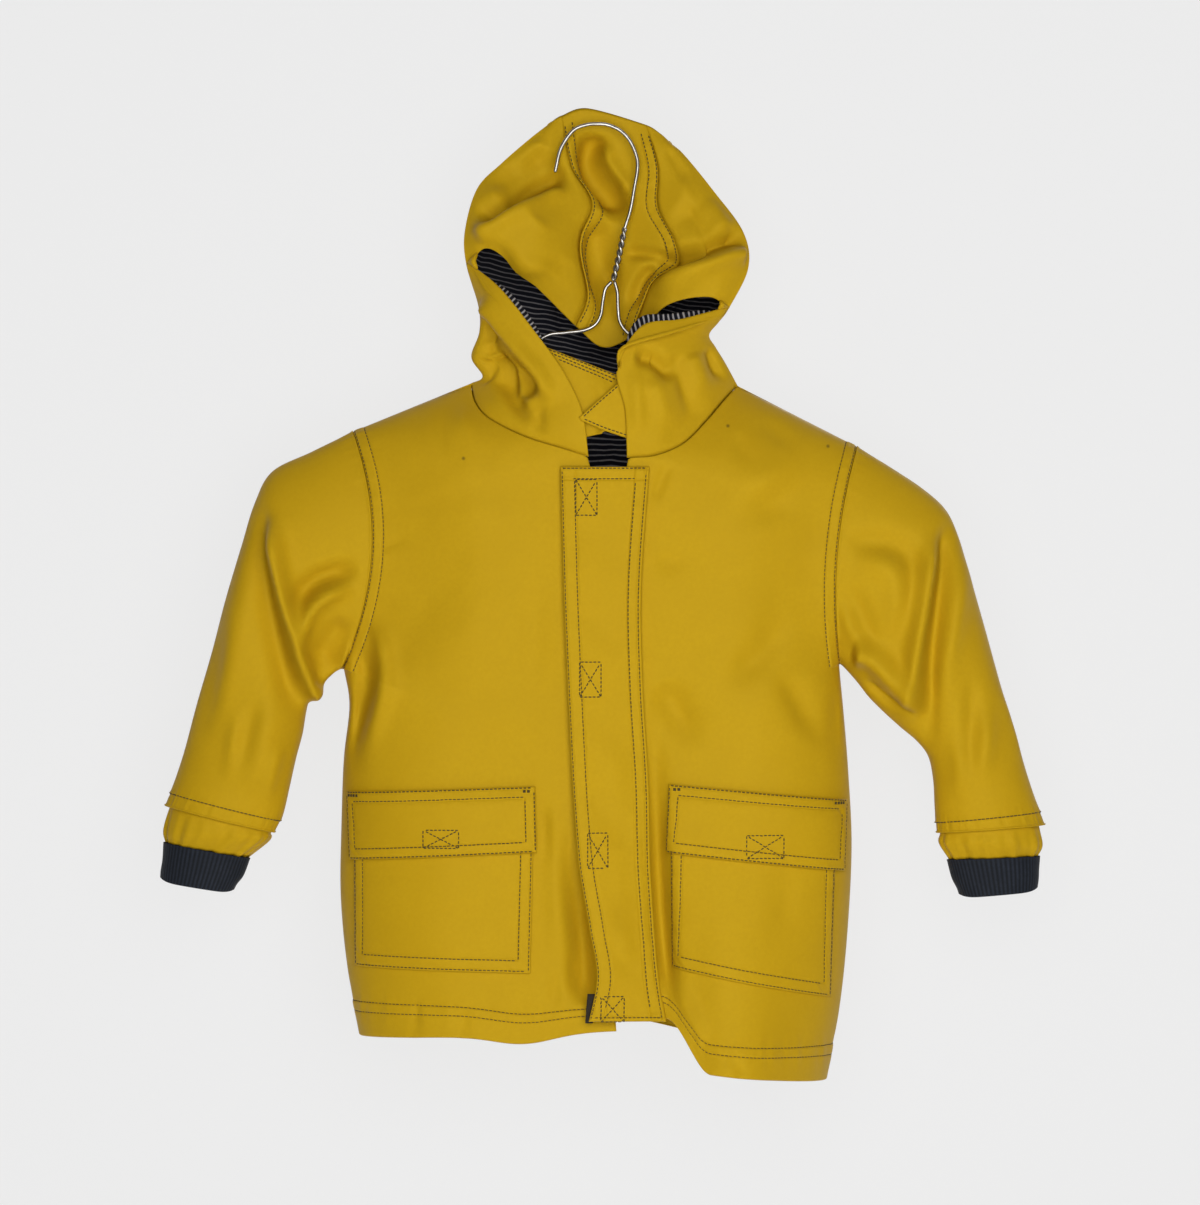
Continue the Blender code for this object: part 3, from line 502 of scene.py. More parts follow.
WAVE_X, WAVE_WIDTH, WAVE, WAVE_HEIGHT = -45.0, 26.0, 6.0, 60.0
BACK_ARCH = 23.0  # rounds the back's hem over its middle
SEAM_STRIP = 7.4  # armhole seam to its second row of stitches
HEM_STITCHES = (16.0, 22.5)  # up from the hem's fold
HEM_RUN = 44.5  # one row of the side seam at the hem


def ring(section, turn):
    """A flattened tube's ring: the middle of its two edges plus half their span times the cosine of the
    turn, its depth times the sine forward, and a push sideways that grows with the sine squared."""
    outer_x, outer_z, inner_x, inner_z, push, depth = np.moveaxis(np.asarray(section, float), -1, 0)
    swing, face = np.cos(turn), np.sin(turn)
    x = (outer_x + inner_x) / 2 + swing * (outer_x - inner_x) / 2 + push * face * face
    return np.stack([x, -depth * face, (outer_z + inner_z) / 2 + swing * (outer_z - inner_z) / 2], -1)


def side_edge(side, layer, row):
    """The panel's outer edge: up the side seam, then half way round the armhole."""
    seam = through([(x, 0.0, z) for x, z in SIDE_LINE[side]], np.clip(row, 0, SIDE_ROWS))
    turn = math.pi * (1 - np.clip((row - SIDE_ROWS) / ARM_ROWS, 0, 1))
    arm = ring(ARMHOLE[side], turn) * (1, 1 if layer == "front" else -1, 1)
    return np.where((row > SIDE_ROWS)[..., None], arm, seam)


def centre_edge(side, layer, row):
    """The panel's inner edge: up the centre, then along the neckline."""
    centre = CENTRE_FRONT[side] if layer == "front" else CENTRE_BACK
    neck = FRONT_NECK[side] if layer == "front" else BACK_NECK[side]
    low = evenly(centre, np.clip(row / PLUNGE, 0, 1))
    low = np.stack([low[..., 0], np.abs(neck[0][1]) + 0 * low[..., 0], low[..., 1]], -1)
    high = evenly(neck, np.clip((row - PLUNGE) / NECK_ROWS, 0, 1))
    high = high * (1, -1 if layer == "front" else 1, 1)
    return np.where((row > PLUNGE)[..., None], high, low)


def body_panel(side, layer, row, share):
    """A quarter of the body. A row runs straight from side to centre in x and z; its depth grows from
    the side seam or armhole to the full depth, which itself rolls in towards the shoulder."""
    edge, inner = side_edge(side, layer, row), centre_edge(side, layer, row)
    x = edge[..., 0] + (inner[..., 0] - edge[..., 0]) * share
    z = edge[..., 2] + (inner[..., 2] - edge[..., 2]) * share
    point, neck = ARMHOLE[side], FRONT_NECK[side][-1]
    top = neck[2]
    if layer == "back":
        even = (FRONT_NECK["right"][-1][2] + FRONT_NECK["left"][-1][2]) / 2
        top = top + (even - top) * smooth((BODY_ROWS - row) / NECK_ROWS)
    roof = point[1] + (top - point[1]) * np.clip((x - point[0]) / (neck[0] - point[0]), 0, 1)
    fall = rounded((roof - z) / SHOULDER_ROLL)
    down = np.clip((CHEST_Z - z) / (CHEST_Z - HEM_Z), 0, 1)
    full = (CHEST_DEPTH[layer] + (HEM_DEPTH[layer] - CHEST_DEPTH[layer]) * down) * fall
    held = np.abs(edge[..., 1])
    lean = np.sin(math.pi * np.clip((row - SIDE_ROWS) / ARM_ROWS, 0, 1)) ** 1.4
    depth = held + (full - held) * (
        (1 - lean) * rounded(share / SIDE_SWELL) + lean * smooth(share / ARM_SWELL)
    )
    to_neck = share**2 if layer == "front" else smooth(share)
    depth = depth + (inner[..., 1] - full) * to_neck * smooth(row - PLUNGE + 1)
    y = -depth if layer == "front" else depth
    if layer == "back":
        rise = np.clip(1 - (z - HEM_Z) / DROP_HEIGHT, 0, 1)
        return np.stack([x, y, z + BACK_ARCH * share**2 * (1 - share) * rise], -1)
    if side == "right":
        rise = np.clip(1 - (z - HEM_Z) / WAVE_HEIGHT, 0, 1)
        z = z - WAVE * bell(x - WAVE_X, WAVE_WIDTH) * rise
    else:
        rise = np.clip(1 - (z - HEM_Z) / FLARE_HEIGHT, 0, 1) ** 2
        y = y - FLARE_DEPTH * bell(x - FLARE_X, FLARE_WIDTH) * rise * smooth(share / 0.12)
        side_x, side_z = SIDE_LINE[side][0]
        centre_x, centre_z = CENTRE_FRONT[side][0]
        hem_x = side_x + (centre_x - side_x) * share
        fast = smooth((hem_x - DROP_FROM) / (DROP_TO - DROP_FROM))
        slow = np.clip((hem_x - DROP_TO) / (side_x - DROP_TO), 0, 1)
        part = DROP_SHARE * fast + (1 - DROP_SHARE) * slow
        rise = np.clip(1 - (z - HEM_Z) / DROP_HEIGHT, 0, 1)
        z = z + (centre_z - side_z) * (1 - part - share) * rise
    return np.stack([x, y, z], -1)


FRONT_FOLDS = {  # height, half width, lean, fade in, fade out, line in x and z
    "right": [
        (6.5, 6.0, 0.3, 0.3, 0.4, [(-140, -306), (-134.5, -324), (-133, -348), (-140, -374), (-150, -400)]),
        (-9.0, 6.0, 0.0, 0.3, 0.5, [(-147, -322), (-143, -345), (-148, -375), (-153, -410)]),
        (-1.2, 3.0, 0.2, 0.1, 0.7, [(-134, -265), (-125, -261), (-114, -257)]),
        (-1.5, 6.0, 0.0, 0.4, 0.6, [(-98, -174), (-95.5, -196), (-90, -221)]),
        (1.2, 5.0, 0.0, 0.4, 0.6, [(-84.5, -171), (-82, -187), (-74.5, -201)]),
        (-1.4, 14.0, 0.0, 0.4, 0.5, [(-126, -321), (-98, -296), (-79, -271)]),
        (-1.2, 12.0, 0.0, 0.5, 0.5, [(-128, -359), (-98, -352), (-60, -361)]),
        (-1.8, 9.0, 0.0, 0.5, 0.5, [(-36, -262), (-38, -321), (-34, -371)]),
        (2.4, 7.0, 0.0, 0.4, 0.4, [(-26, -405), (-25, -445), (-23, -490), (-18, -530)]),
        (-12.0, 7.0, 0.0, 0.55, 0.2, [(-20, -430), (-14, -470), (-10, -500), (-8, -525), (-9, -548)]),
        (-2.2, 2.6, 0.2, 0.4, 0.5, [(-17, -512), (-15.5, -525), (-17, -538)]),
        (-1.5, 3.4, 0.0, 0.4, 0.4, [(-29, -523), (-26, -537), (-28, -550)]),
        (-1.2, 3.0, 0.0, 0.3, 0.3, [(-84, -545), (-82, -557), (-84, -566)]),
        (-1.2, 4.0, 0.0, 0.3, 0.3, [(-108, -540), (-112, -556), (-111, -567)]),
        (-2.1, 4.0, 0.0, 0.4, 0.5, [(-34, -418), (-32, -440), (-31, -462)]),
    ],
    "left": [
        (-1.8, 3.4, 0.0, 0.3, 0.4, [(35, -236), (40, -222), (46, -209)]),
        (-2.7, 9.0, 0.0, 0.5, 0.5, [(72, -252), (99, -241), (118, -232), (140, -219)]),
        (1.8, 10.0, 0.0, 0.5, 0.5, [(80, -232), (104, -222), (126, -210)]),
        (-1.7, 6.0, 0.0, 0.4, 0.6, [(34, -277), (47, -272.5), (62, -268)]),
        (-4.0, 9.0, 0.0, 0.4, 0.4, [(76, -352), (92.5, -337), (107, -322), (121, -300)]),
        (-4.5, 8.0, 0.2, 0.4, 0.5, [(113, -338), (125, -362), (147, -394)]),
        (-5.0, 10.0, 0.0, 0.3, 0.5, [(38, -346), (50, -366), (64, -390)]),
        (-12.0, 6.0, 0.0, 0.5, 0.25, [(35, -352), (36.5, -421), (38.5, -471), (42, -515), (47, -548)]),
        (3.3, 5.0, 0.2, 0.5, 0.3, [(48, -520), (52, -540), (60, -557), (66, -571)]),
        (-1.5, 6.0, 0.0, 0.4, 0.5, [(98, -182), (114, -195), (129, -203)]),
        (-1.4, 5.0, 0.0, 0.4, 0.5, [(86, -190), (89.5, -203), (96, -216)]),
        (-1.8, 5.0, 0.0, 0.4, 0.4, [(151, -350), (147, -371), (148, -398)]),
        (-1.5, 8.0, 0.0, 0.4, 0.5, [(120, -458), (116, -484), (120, -510)]),
        (-1.4, 4.0, 0.0, 0.4, 0.4, [(80, -572), (87, -582), (88, -592)]),
    ],
}


def front_face(side, row, share):
    """The front as it hangs: the panel with its folds and unevenness brought forward."""
    grid = body_panel(side, "front", row, share)
    x, z = grid[..., 0], grid[..., 2]
    low = strokes(x, z, FRONT_FOLDS[side]) + waves(x, z, 75, 0.55, 3) + waves(x, z, 24, 0.12, 5)
    calm = smooth(share / 0.05)
    return grid - np.stack([0 * x, low * calm, 0 * x], -1)


def front_depth(side, x, z):
    """How far forward the front lies at x and z: its row is found by halving, its share follows."""
    low, high = np.zeros(x.shape), np.full(x.shape, float(PLUNGE))
    for _ in range(26):
        row = (low + high) / 2
        edge, inner = side_edge(side, "front", row), centre_edge(side, "front", row)
        share = np.clip((x - edge[..., 0]) / (inner[..., 0] - edge[..., 0]), 0, 1)
        above = body_panel(side, "front", row, share)[..., 2] > z
        low, high = np.where(above, low, row), np.where(above, row, high)
    return front_face(side, row, share)[..., 1]


PANEL_STEPS = {"front": (150, 76), "back": (104, 44)}  # rows above the hem, columns inside the strip
SEAM_EDGE, SEAM_ZONE = 1.2, 12.0  # the row of stitches beside a seam, and the finely divided strip


def panel_rows(layer):
    """Rows in the panel's own count, close together at the hem's stitches."""
    up = spacing(42.0, [0.0, *HEM_STITCHES], 2.0) / HEM_RUN
    return np.concatenate([up, np.linspace(up[-1], BODY_ROWS, PANEL_STEPS[layer][0])[1:]])


def dressed_panel(side, layer):
    """Grid of a front or half back with its seam strip, hem and puckers, and the columns of its stitches."""
    row = panel_rows(layer)
    edge, inner = side_edge(side, layer, row), centre_edge(side, layer, row)
    width = np.linalg.norm((inner - edge)[:, [0, 2]], axis=1)
    near = spacing(SEAM_ZONE, [0.0, SEAM_EDGE, SEAM_STRIP], 1.2)
    rest = np.linspace(0, 1, PANEL_STEPS[layer][1])[1:]
    away = np.concatenate(
        [np.broadcast_to(near, (len(row), len(near))), SEAM_ZONE + (width[:, None] - SEAM_ZONE) * rest], 1
    )
    share = away / width[:, None]
    rows = np.broadcast_to(row[:, None], share.shape)
    face = front_face if layer == "front" else back_face
    grid = face(side, rows, share)
    x = grid[..., 0]
    normal = outward(grid, flip=(side == "left") == (layer == "front"))
    if layer == "back":
        normal[:, -1] = (0, 1, 0)
    along = lengths(side_edge(side, layer, row))[:, None]
    arm = smooth((rows - SIDE_ROWS + 0.2) / 0.6) * smooth((BODY_ROWS - rows) / 0.25)
    strip = 0.55 * smooth(away / 0.8) * smooth((SEAM_STRIP + 0.6 - away) / 1.2)
    dents = -0.45 * bell(away - SEAM_EDGE, 0.5) - 0.5 * bell(away - SEAM_STRIP, 0.55) - 0.5 * bell(away, 0.7)
    lift = arm * (strip + dents + puckers(along, away - 4, 11, 0.16, 6.0))
    hem_up = row[:, None] * HEM_RUN
    hem = 0.45 * smooth((HEM_STITCHES[1] + 0.5 - hem_up) / 1.2)
    hem = hem - 0.9 * (1 - rounded(hem_up / 1.4))
    for at in HEM_STITCHES:
        hem = hem - 0.5 * bell(hem_up - at, 0.6)
    hem = hem + puckers(x, hem_up - 19, 17, 0.3, 9.0)
    side_seam = -0.8 * bell(away, 1.2) * (1 - arm)
    grid = grid + normal * (lift + hem + side_seam)[..., None]
    return grid, normal, row, share, away, hem_up[:, 0]


def stitch_line(grid, normal, rows, columns):
    """Points and normals along these fractional rows and columns."""
    rows, columns = np.broadcast_arrays(np.asarray(rows, float), np.asarray(columns, float))
    return at_grid(grid, rows, columns), at_grid(normal, rows, columns)


def panel_stitches(grid, normal, row, away, hem_up):
    """Two rows at the armhole and two at the hem."""
    lines = []
    top = np.arange(np.searchsorted(row, SIDE_ROWS + 0.3), len(row) - 1)
    for at in (SEAM_EDGE, SEAM_STRIP):
        lines.append(stitch_line(grid, normal, top, np.searchsorted(away[0], at - 1e-6)))
    across = np.arange(grid.shape[1])
    for at in HEM_STITCHES:
        lines.append(stitch_line(grid, normal, np.interp(at, hem_up, np.arange(len(hem_up))), across))
    return lines


CLOTH = 0.8
for side, flip in (("right", False), ("left", True)):
    grid, normal, row, share, away, hem_up = dressed_panel(side, "front")
    front = wall(grid_mesh("front_" + side, [(grid, flip)], coated), CLOTH)
    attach(front, "root")
    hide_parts("front_panel_" + side)
    lines = panel_stitches(grid, normal, row, away, hem_up)
    sewn = stitching("front_stitches_" + side, lines)


# ==== Back: one piece, closed to the fronts at the side and shoulder seams ====
# The same cloth and stitching as the fronts; its folds are slack ones between shoulders and hem.
BACK_FOLDS = [
    (-2.2, 11.0, 0.0, 0.4, 0.6, [(-96, -196), (-86, -250), (-88, -320)]),
    (-2.0, 12.0, 0.0, 0.4, 0.6, [(98, -205), (84, -262), (90, -338)]),
    (1.7, 10.0, 0.0, 0.4, 0.5, [(-24, -188), (-8, -232), (6, -290)]),
    (-2.5, 9.0, 0.2, 0.4, 0.5, [(-142, -342), (-116, -372), (-84, -392)]),
    (-2.5, 8.0, 0.0, 0.4, 0.5, [(140, -336), (112, -366), (74, -380)]),
    (-4.2, 9.0, 0.0, 0.6, 0.1, [(-52, -430), (-60, -492), (-58, -566)]),
    (3.1, 10.0, 0.2, 0.6, 0.1, [(18, -408), (26, -482), (22, -564)]),
    (-3.4, 8.0, 0.0, 0.6, 0.1, [(74, -446), (70, -508), (78, -570)]),
    (-2.0, 6.0, 0.0, 0.5, 0.5, [(120, -470), (126, -520), (122, -560)]),
]


def back_face(side, row, share):
    """The back as it hangs, its folds along +Y."""
    grid = body_panel(side, "back", row, share)
    x, z = grid[..., 0], grid[..., 2]
    low = strokes(x, z, BACK_FOLDS) + waves(x, z, 80, 0.6, 21) + waves(x, z, 26, 0.12, 23)
    return grid + np.stack([0 * x, low * smooth(share / 0.05), 0 * x], -1)


back_halves, back_lines = {}, []
for side in ("right", "left"):
    grid, normal, row, share, away, hem_up = dressed_panel(side, "back")
    back_halves[side] = grid
    back_lines += panel_stitches(grid, normal, row, away, hem_up)
back = wall(grid_mesh("back", [(back_halves["right"], True), (back_halves["left"], False)], coated), CLOTH)
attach(back, "root")
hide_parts("back_panel")
sewn = stitching("back_stitches", back_lines)


# ==== Sleeves: one tube each from armhole to a stitched hem ====
# Cut wide and nearly straight. They hang from the hanger's ends, so the cloth folds over at the
# shoulder and again below the armpit. The hem is turned in and stitched once.
SLEEVE = {  # outer x, outer z, inner x, inner z, push towards the body, depth
    "right": [
        (-152.5, -191, -159, -339, 16, 24),
        (-178, -203.5, -164, -341, 7, 26),
        (-203, -216, -170, -347, 0, 26),
        (-214, -236, -175, -354, -4, 25),
        (-222, -262, -180, -360, -6, 24),
        (-232, -296, -182, -368, -6, 23),
        (-241, -330, -184, -380, -3, 22),
        (-250, -361, -188, -395, 0, 21),
        (-258, -391, -192, -413, 0, 20),
        (-265, -412, -196, -430, 0, 20),
        (-270, -424, -201, -441, 0, 20),
    ],
    "left": [
        (162.5, -200.5, 152, -336, -8, 24),
        (183, -213, 156, -340, -2, 26),
        (204, -227, 163, -348, 4, 26),
        (218, -240, 170, -357, 7, 25),
        (226, -257, 180, -367, 7, 24),
        (233, -281, 190, -376, 5, 23),
        (243, -316, 200, -384.5, 3, 22),
        (253, -352, 207, -394, 0, 21),
        (263, -386, 210, -408, 0, 20),
        (272, -415, 211, -425, 0, 20),
        (280, -436, 212, -441, 0, 20),
    ],
}
SLEEVE_FOLDS = {
    "right": [
        (
            7.5, 7.0, -0.25, 0.2, 0.3,
            [(-209, -230), (-208, -258), (-204, -285), (-199, -310), (-193, -334), (-188, -352), (-186, -368)]
        ),
        (
            -14.0, 6.0, 0.0, 0.2, 0.2,
            [
                (-203, -242), (-200.5, -264), (-196, -290), (-190.5, -313), (-185, -334), (-180, -352),
                (-177, -366)
            ]
        ),
        (7.5, 5.5, 0.0, 0.25, 0.3, [(-146, -279), (-160, -279), (-173, -283), (-183, -292), (-188.5, -304)]),
        (-9.5, 5.0, 0.0, 0.3, 0.3, [(-148, -289), (-164, -292), (-176, -301), (-182, -314), (-183, -330)]),
        (6.0, 8.0, 0.0, 0.3, 0.3, [(-154, -306), (-166, -323), (-174, -340)]),
        (-6.0, 3.5, 0.0, 0.2, 0.3, [(-148, -320), (-160, -334), (-172, -348), (-179, -358)]),
        (3.0, 4.0, 0.0, 0.3, 0.3, [(-158, -340), (-167, -346), (-175, -355)]),
        (-5.0, 13.0, 0.0, 0.4, 0.4, [(-196, -345), (-206, -372), (-210, -402), (-212, -424)]),
        (3.2, 6.0, 0.0, 0.4, 0.5, [(-208, -352), (-216, -378), (-222, -408)]),
        (-2.6, 5.0, 0.0, 0.4, 0.5, [(-222, -362), (-226, -388), (-230, -414)]),
        (-3.2, 9.0, 0.0, 0.4, 0.5, [(-216, -262), (-222, -304), (-231, -350), (-240, -398)]),
        (2.4, 7.0, 0.0, 0.4, 0.5, [(-230, -300), (-238, -345), (-248, -392)]),
        (-2.0, 4.0, 0.0, 0.3, 0.4, [(-197, -384), (-203, -404), (-206, -424)]),
    ],
    "left": [
        (
            8.5, 6.0, 0.0, 0.15, 0.35,
            [(220, -242), (217, -272), (211.5, -305), (207, -338), (206, -368), (208, -396)]
        ),
        (
            -10.0, 6.5, 0.0, 0.25, 0.3,
            [(210, -254), (205.5, -277), (202, -303), (198.5, -332), (198.5, -353), (202, -374)]
        ),
        (
            4.4, 8.0, 0.0, 0.2, 0.3,
            [
                (150, -265), (164, -261), (178, -261), (190, -265), (197.5, -275), (198, -292), (194, -314),
                (191, -336)
            ]
        ),
        (-3.4, 8.5, 0.0, 0.3, 0.3, [(160, -275), (175, -275), (185, -283), (187, -300), (184, -322)]),
        (2.6, 6.0, 0.0, 0.3, 0.3, [(154, -284), (161, -298), (167, -313), (173, -326), (182, -340)]),
        (-2.6, 5.0, 0.0, 0.3, 0.3, [(150, -296), (156, -310), (163, -323), (170, -333)]),
        (-11.0, 7.0, 0.0, 0.15, 0.25, [(158, -328), (171, -331), (182, -342), (193, -355), (203, -370)]),
        (3.4, 2.6, 0.0, 0.2, 0.2, [(166, -345), (178, -355), (190, -362), (201, -368)]),
        (-5.0, 8.0, 0.0, 0.3, 0.5, [(228, -262), (222, -300), (217, -334), (214, -370)]),
        (-3.4, 6.0, 0.0, 0.4, 0.5, [(243, -356), (240.5, -390), (237, -418)]),
        (-3.0, 6.0, 0.0, 0.4, 0.5, [(222, -378), (226, -402), (224, -424)]),
        (3.2, 6.0, 0.0, 0.4, 0.5, [(233, -335), (233, -372), (231, -410)]),
        (-2.6, 7.0, 0.0, 0.4, 0.5, [(252, -340), (262, -375), (268, -405)]),
    ],
}
SLEEVE_BACK_FOLDS = {
    "right": [
        (4.5, 8.0, 0.2, 0.3, 0.4, [(-158, -262), (-176, -270), (-190, -292), (-194, -330)]),
        (-4.5, 7.0, 0.0, 0.3, 0.5, [(-162, -282), (-176, -296), (-183, -326), (-188, -362)]),
        (-3.3, 8.0, 0.0, 0.3, 0.5, [(-208, -238), (-207, -280), (-212, -330), (-222, -372)]),
        (2.4, 8.0, 0.0, 0.4, 0.5, [(-222, -300), (-232, -350), (-242, -400)]),
    ],
    "left": [
        (4.8, 8.0, 0.2, 0.3, 0.4, [(156, -258), (176, -266), (190, -288), (196, -326)]),
        (-4.8, 7.0, 0.0, 0.3, 0.5, [(158, -280), (176, -298), (186, -326), (192, -360)]),
        (-3.0, 8.0, 0.0, 0.3, 0.5, [(216, -252), (218, -290), (224, -340), (234, -388)]),
        (2.2, 7.0, 0.0, 0.4, 0.5, [(238, -318), (248, -362), (258, -404)]),
    ],
}
SLEEVE_STITCH = 8.0  # up from the sleeve's edge


def tube_grid(sections, row, turn):
    """Rings through the sections at these rows, all with the same turns."""
    table = through(sections, row)
    return ring(table[:, None, :], np.broadcast_to(turn, (len(row), len(turn))))


def sleeve_grid(side):
    """The sleeve with its folds, the dip at the armhole seam, the raised hem and its stitches."""
    table = SLEEVE[side]
    run = lengths(through(table, np.linspace(0, len(table) - 1, 241))[:, :2])
    at = spacing(run[-1], [0.0, run[-1] - SLEEVE_STITCH, run[-1]], 2.3)
    row = np.interp(at, run, np.linspace(0, len(table) - 1, 241))
    turn = np.linspace(0, 2 * math.pi, 165)
    turn = turn - 0.22 * np.sin(2 * turn) / 2
    grid = tube_grid(table, row, turn)
    normal = outward(grid, flip=side == "left")
    normal[:, 0] = normal[:, -1] = unit(normal[:, 0] + normal[:, -1])
    x, z = grid[..., 0], grid[..., 2]
    face = np.sin(turn)[None, :]
    ends = smooth(at / 14)[:, None]
    lift = strokes(x, z, SLEEVE_FOLDS[side]) * smooth(face / 0.45) + strokes(
        x, z, SLEEVE_BACK_FOLDS[side]
    ) * smooth(-face / 0.45)
    lift = (lift + waves(x, z, 60, 0.5, 31) * np.abs(face)) * (0.35 + 0.65 * ends)
    edge = (run[-1] - at)[:, None]
    around = 60 * turn[None, :]
    lift = lift * smooth(edge / 30 + 0.35)
    lift = lift - 0.6 * bell(at[:, None], 1.4) + puckers(around, at[:, None] - 3, 37, 0.2, 5.0)
    lift = lift + 0.5 * smooth((SLEEVE_STITCH + 0.5 - edge) / 1.0) - 0.5 * bell(edge - SLEEVE_STITCH, 0.6)
    lift = lift - 0.9 * (1 - rounded(edge / 1.2)) + puckers(around, edge - 5, 41, 0.3, 7.0)
    return grid + normal * lift[..., None], normal, edge[:, 0]


for side, flip in (("right", True), ("left", False)):
    grid, normal, edge = sleeve_grid(side)
    sleeve = wall(grid_mesh("sleeve_" + side, [(grid, flip)], coated), CLOTH)
    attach(sleeve, "root")
    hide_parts("sleeve_" + side)
    row = np.interp(-SLEEVE_STITCH, -edge, np.arange(len(edge)))
    sewn = stitching(
        "sleeve_stitches_" + side,
        [stitch_line(grid, normal, row, np.arange(grid.shape[1]))],
    )


# ==== Sleeve bands and cuffs: an inner band of the coat's cloth, gathered on a ribbed cuff ====
# The band shows below the sleeve's hem, puckered where it is sewn to the rib. The cuff is dark
# blue rib knit, doubled over at its edge.
BAND = {
    "right": [
        (-263.5, -417, -201, -433, 0, 17.6),
        (-267, -426, -203.5, -441.5, 0, 17.6),
        (-270.5, -440, -204.5, -446, 0, 18),
        (-269.5, -447.5, -218, -457, 0, 13.5),
    ],
    "left": [
        (273.5, -428.5, 214, -434, 0, 17.6),
        (276.5, -438, 214.5, -442, 0, 17.6),
        (278.5, -449, 214, -448, 0, 18),
        (275.5, -456, 220, -458, 0, 13.5),
    ],
}
CUFF = {
    "right": [
        (-269.5, -447.5, -218, -457, 0, 13.5),
        (-270.5, -460, -222.5, -468, 0, 13),
        (-271.5, -472, -228, -479, 0, 12.5),
    ],
    "left": [
        (275.5, -456, 220, -458, 0, 13.5),
        (275, -467, 223.5, -470, 0, 13),
        (274, -478, 227.5, -482, 0, 12.5),
    ],
}
# The cuff's rib valleys are coloured darker than its crests: painted shade in the valleys.
RIB_NAVY, RIB_VALLEY_PAINTED_SHADE = (0.0150, 0.0205, 0.0320), (0.0022, 0.0032, 0.0058)
RIB_SHADE = (0.0095, 0.0135, 0.0220)
RIBS, RIB_HEIGHT, CUFF_WALL = 58, 1.5, 1.5

rib_knit, nodes, links, surface = shader("rib_knit", RIB_NAVY, 0.75)
place = nodes.new("ShaderNodeTexCoord").outputs["Object"]
shades = [("Colour", (*RIB_NAVY, 1)), ("Shade", (*RIB_SHADE, 1))]
cloud = use(rib_knit, clouded, [("Place", place), *shades, ("Size", 60.0)])
# The attribute is 1 on the rib crests and 0 in the valleys, where the near black colour is painted shade.
painted_rib_shade = nodes.new("ShaderNodeAttribute")
painted_rib_shade.attribute_name = "painted_shade"
ribs_with_painted_shade = mixed(rib_knit.node_tree, painted_rib_shade.outputs["Fac"], (*RIB_VALLEY_PAINTED_SHADE, 1), cloud.outputs["Colour"])
links.new(ribs_with_painted_shade, surface.inputs["Base Color"])
grain = use(rib_knit, grained, [("Place", place), ("Pebble", 1500.0), ("Ripple", 500.0)])
bumped(rib_knit, grain.outputs["Height"], 0.5, 0.4)
surface.inputs["Specular IOR Level"].default_value = 0.22
surface.inputs["Sheen Weight"].default_value = 0.05

for side, flip in (("right", True), ("left", False)):
    turn = np.linspace(0, 2 * math.pi, 145)
    row = np.linspace(0, 3, 24)
    grid = tube_grid(BAND[side], row, turn)
    normal = outward(grid, flip=not flip)
    normal[:, 0] = normal[:, -1]
    gather = np.zeros_like(turn)[None, :]
    draw = np.random.default_rng(5 if side == "right" else 8)
    for count in (5, 9, 13, 21):
        gather = gather + np.sin(count * turn[None, :] + draw.uniform(0, 6.28) + 0.35 * row[:, None])
    lift = 0.36 * gather * smooth((row[:, None] - 0.6) / 1.4) * (1 - 0.3 * smooth(row[:, None] - 2))
    grid = grid + normal * lift[..., None]
    band = wall(grid_mesh("band_" + side, [(grid, flip)], coated), CLOTH)
    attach(band, "root")
    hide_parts("sleeve_band_" + side)

    turn = np.linspace(0, 2 * math.pi, 6 * RIBS + 1)
    row = np.concatenate([np.linspace(0, 1.9, 12), 1.9 + 0.1 * np.sin(np.linspace(0, math.pi / 2, 6))[1:]])
    grid = tube_grid(CUFF[side], row, turn)
    normal = outward(grid, flip=not flip)
    normal[:, 0] = normal[:, -1]
    # ribbing lifts the crests and also sets the painted shade in the valleys.
    ribbing = 0.5 + 0.5 * np.cos(RIBS * turn)[None, :]
    edge = rounded((2 - row) / 0.12)[:, None]
    sag = 0.3 * np.sin(3 * turn[None, :] + 2.2 * row[:, None]) * np.sin(math.pi * row / 2)[:, None]
    corner = 2.6 * np.abs(np.cos(turn))[None, :] ** 7 * smooth(row[:, None] - 0.9)
    grid[..., 2] += corner
    outer = grid + normal * (RIB_HEIGHT * ribbing * edge - 0.9 * (1 - edge) + sag)[..., None]
    inner = grid + normal * (sag - CUFF_WALL)[..., None]
    rows = np.concatenate([outer, inner[::-1]])
    cuff = grid_mesh("cuff_" + side, [(rows, flip)], rib_knit, np.broadcast_to(ribbing, rows.shape[:2]))
    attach(cuff, "root")
    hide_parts("rib_cuff_" + side)


# ==== Hood: two sides and a gusset between them, joined by stitched seams ====
# It is sewn into the neckline and stands behind the hook, with its crown at the hook's top. Its front
# edge folds down over the face opening, and the wearer's left edge is turned outwards like a lapel.
HOOD_FOLD = {
    "right": [
        (-79, 0, -161), (-71.5, -1, -156.5), (-78.5, -2, -144.5), (-73.5, -4, -129), (-74, -6, -113),
        (-81.5, -8, -87), (-82.5, -4, -66), (-75, 2, -39), (-59.5, 6, -22.5), (-42, 9, -7), (-29.5, 12, 3),
    ],
    "left": [
        (88, 0, -162.5), (80, -3, -148), (74, -6, -138.5), (70, -8, -131), (76, -9, -123), (82.5, -8, -114),
        (94.5, -4, -89), (91.5, 2, -66), (73, 6, -40), (55, 9, -17.5), (46, 12, -9.2),
    ],
}
HOOD_BACK = [
    (5, 24, -174), (5, 30, -162), (5, 36, -150), (6, 41, -139), (6, 46, -125), (6, 50, -104), (7, 50, -80),
    (7, 46, -52), (6, 39, -25), (3, 28, -4), (-6, 13, 12),
]
SEAM_AT = [0.5, 0.46, 0.44, 0.43, 0.42, 0.42, 0.42, 0.43, 0.46, 0.55, 0.78]  # share of the half width
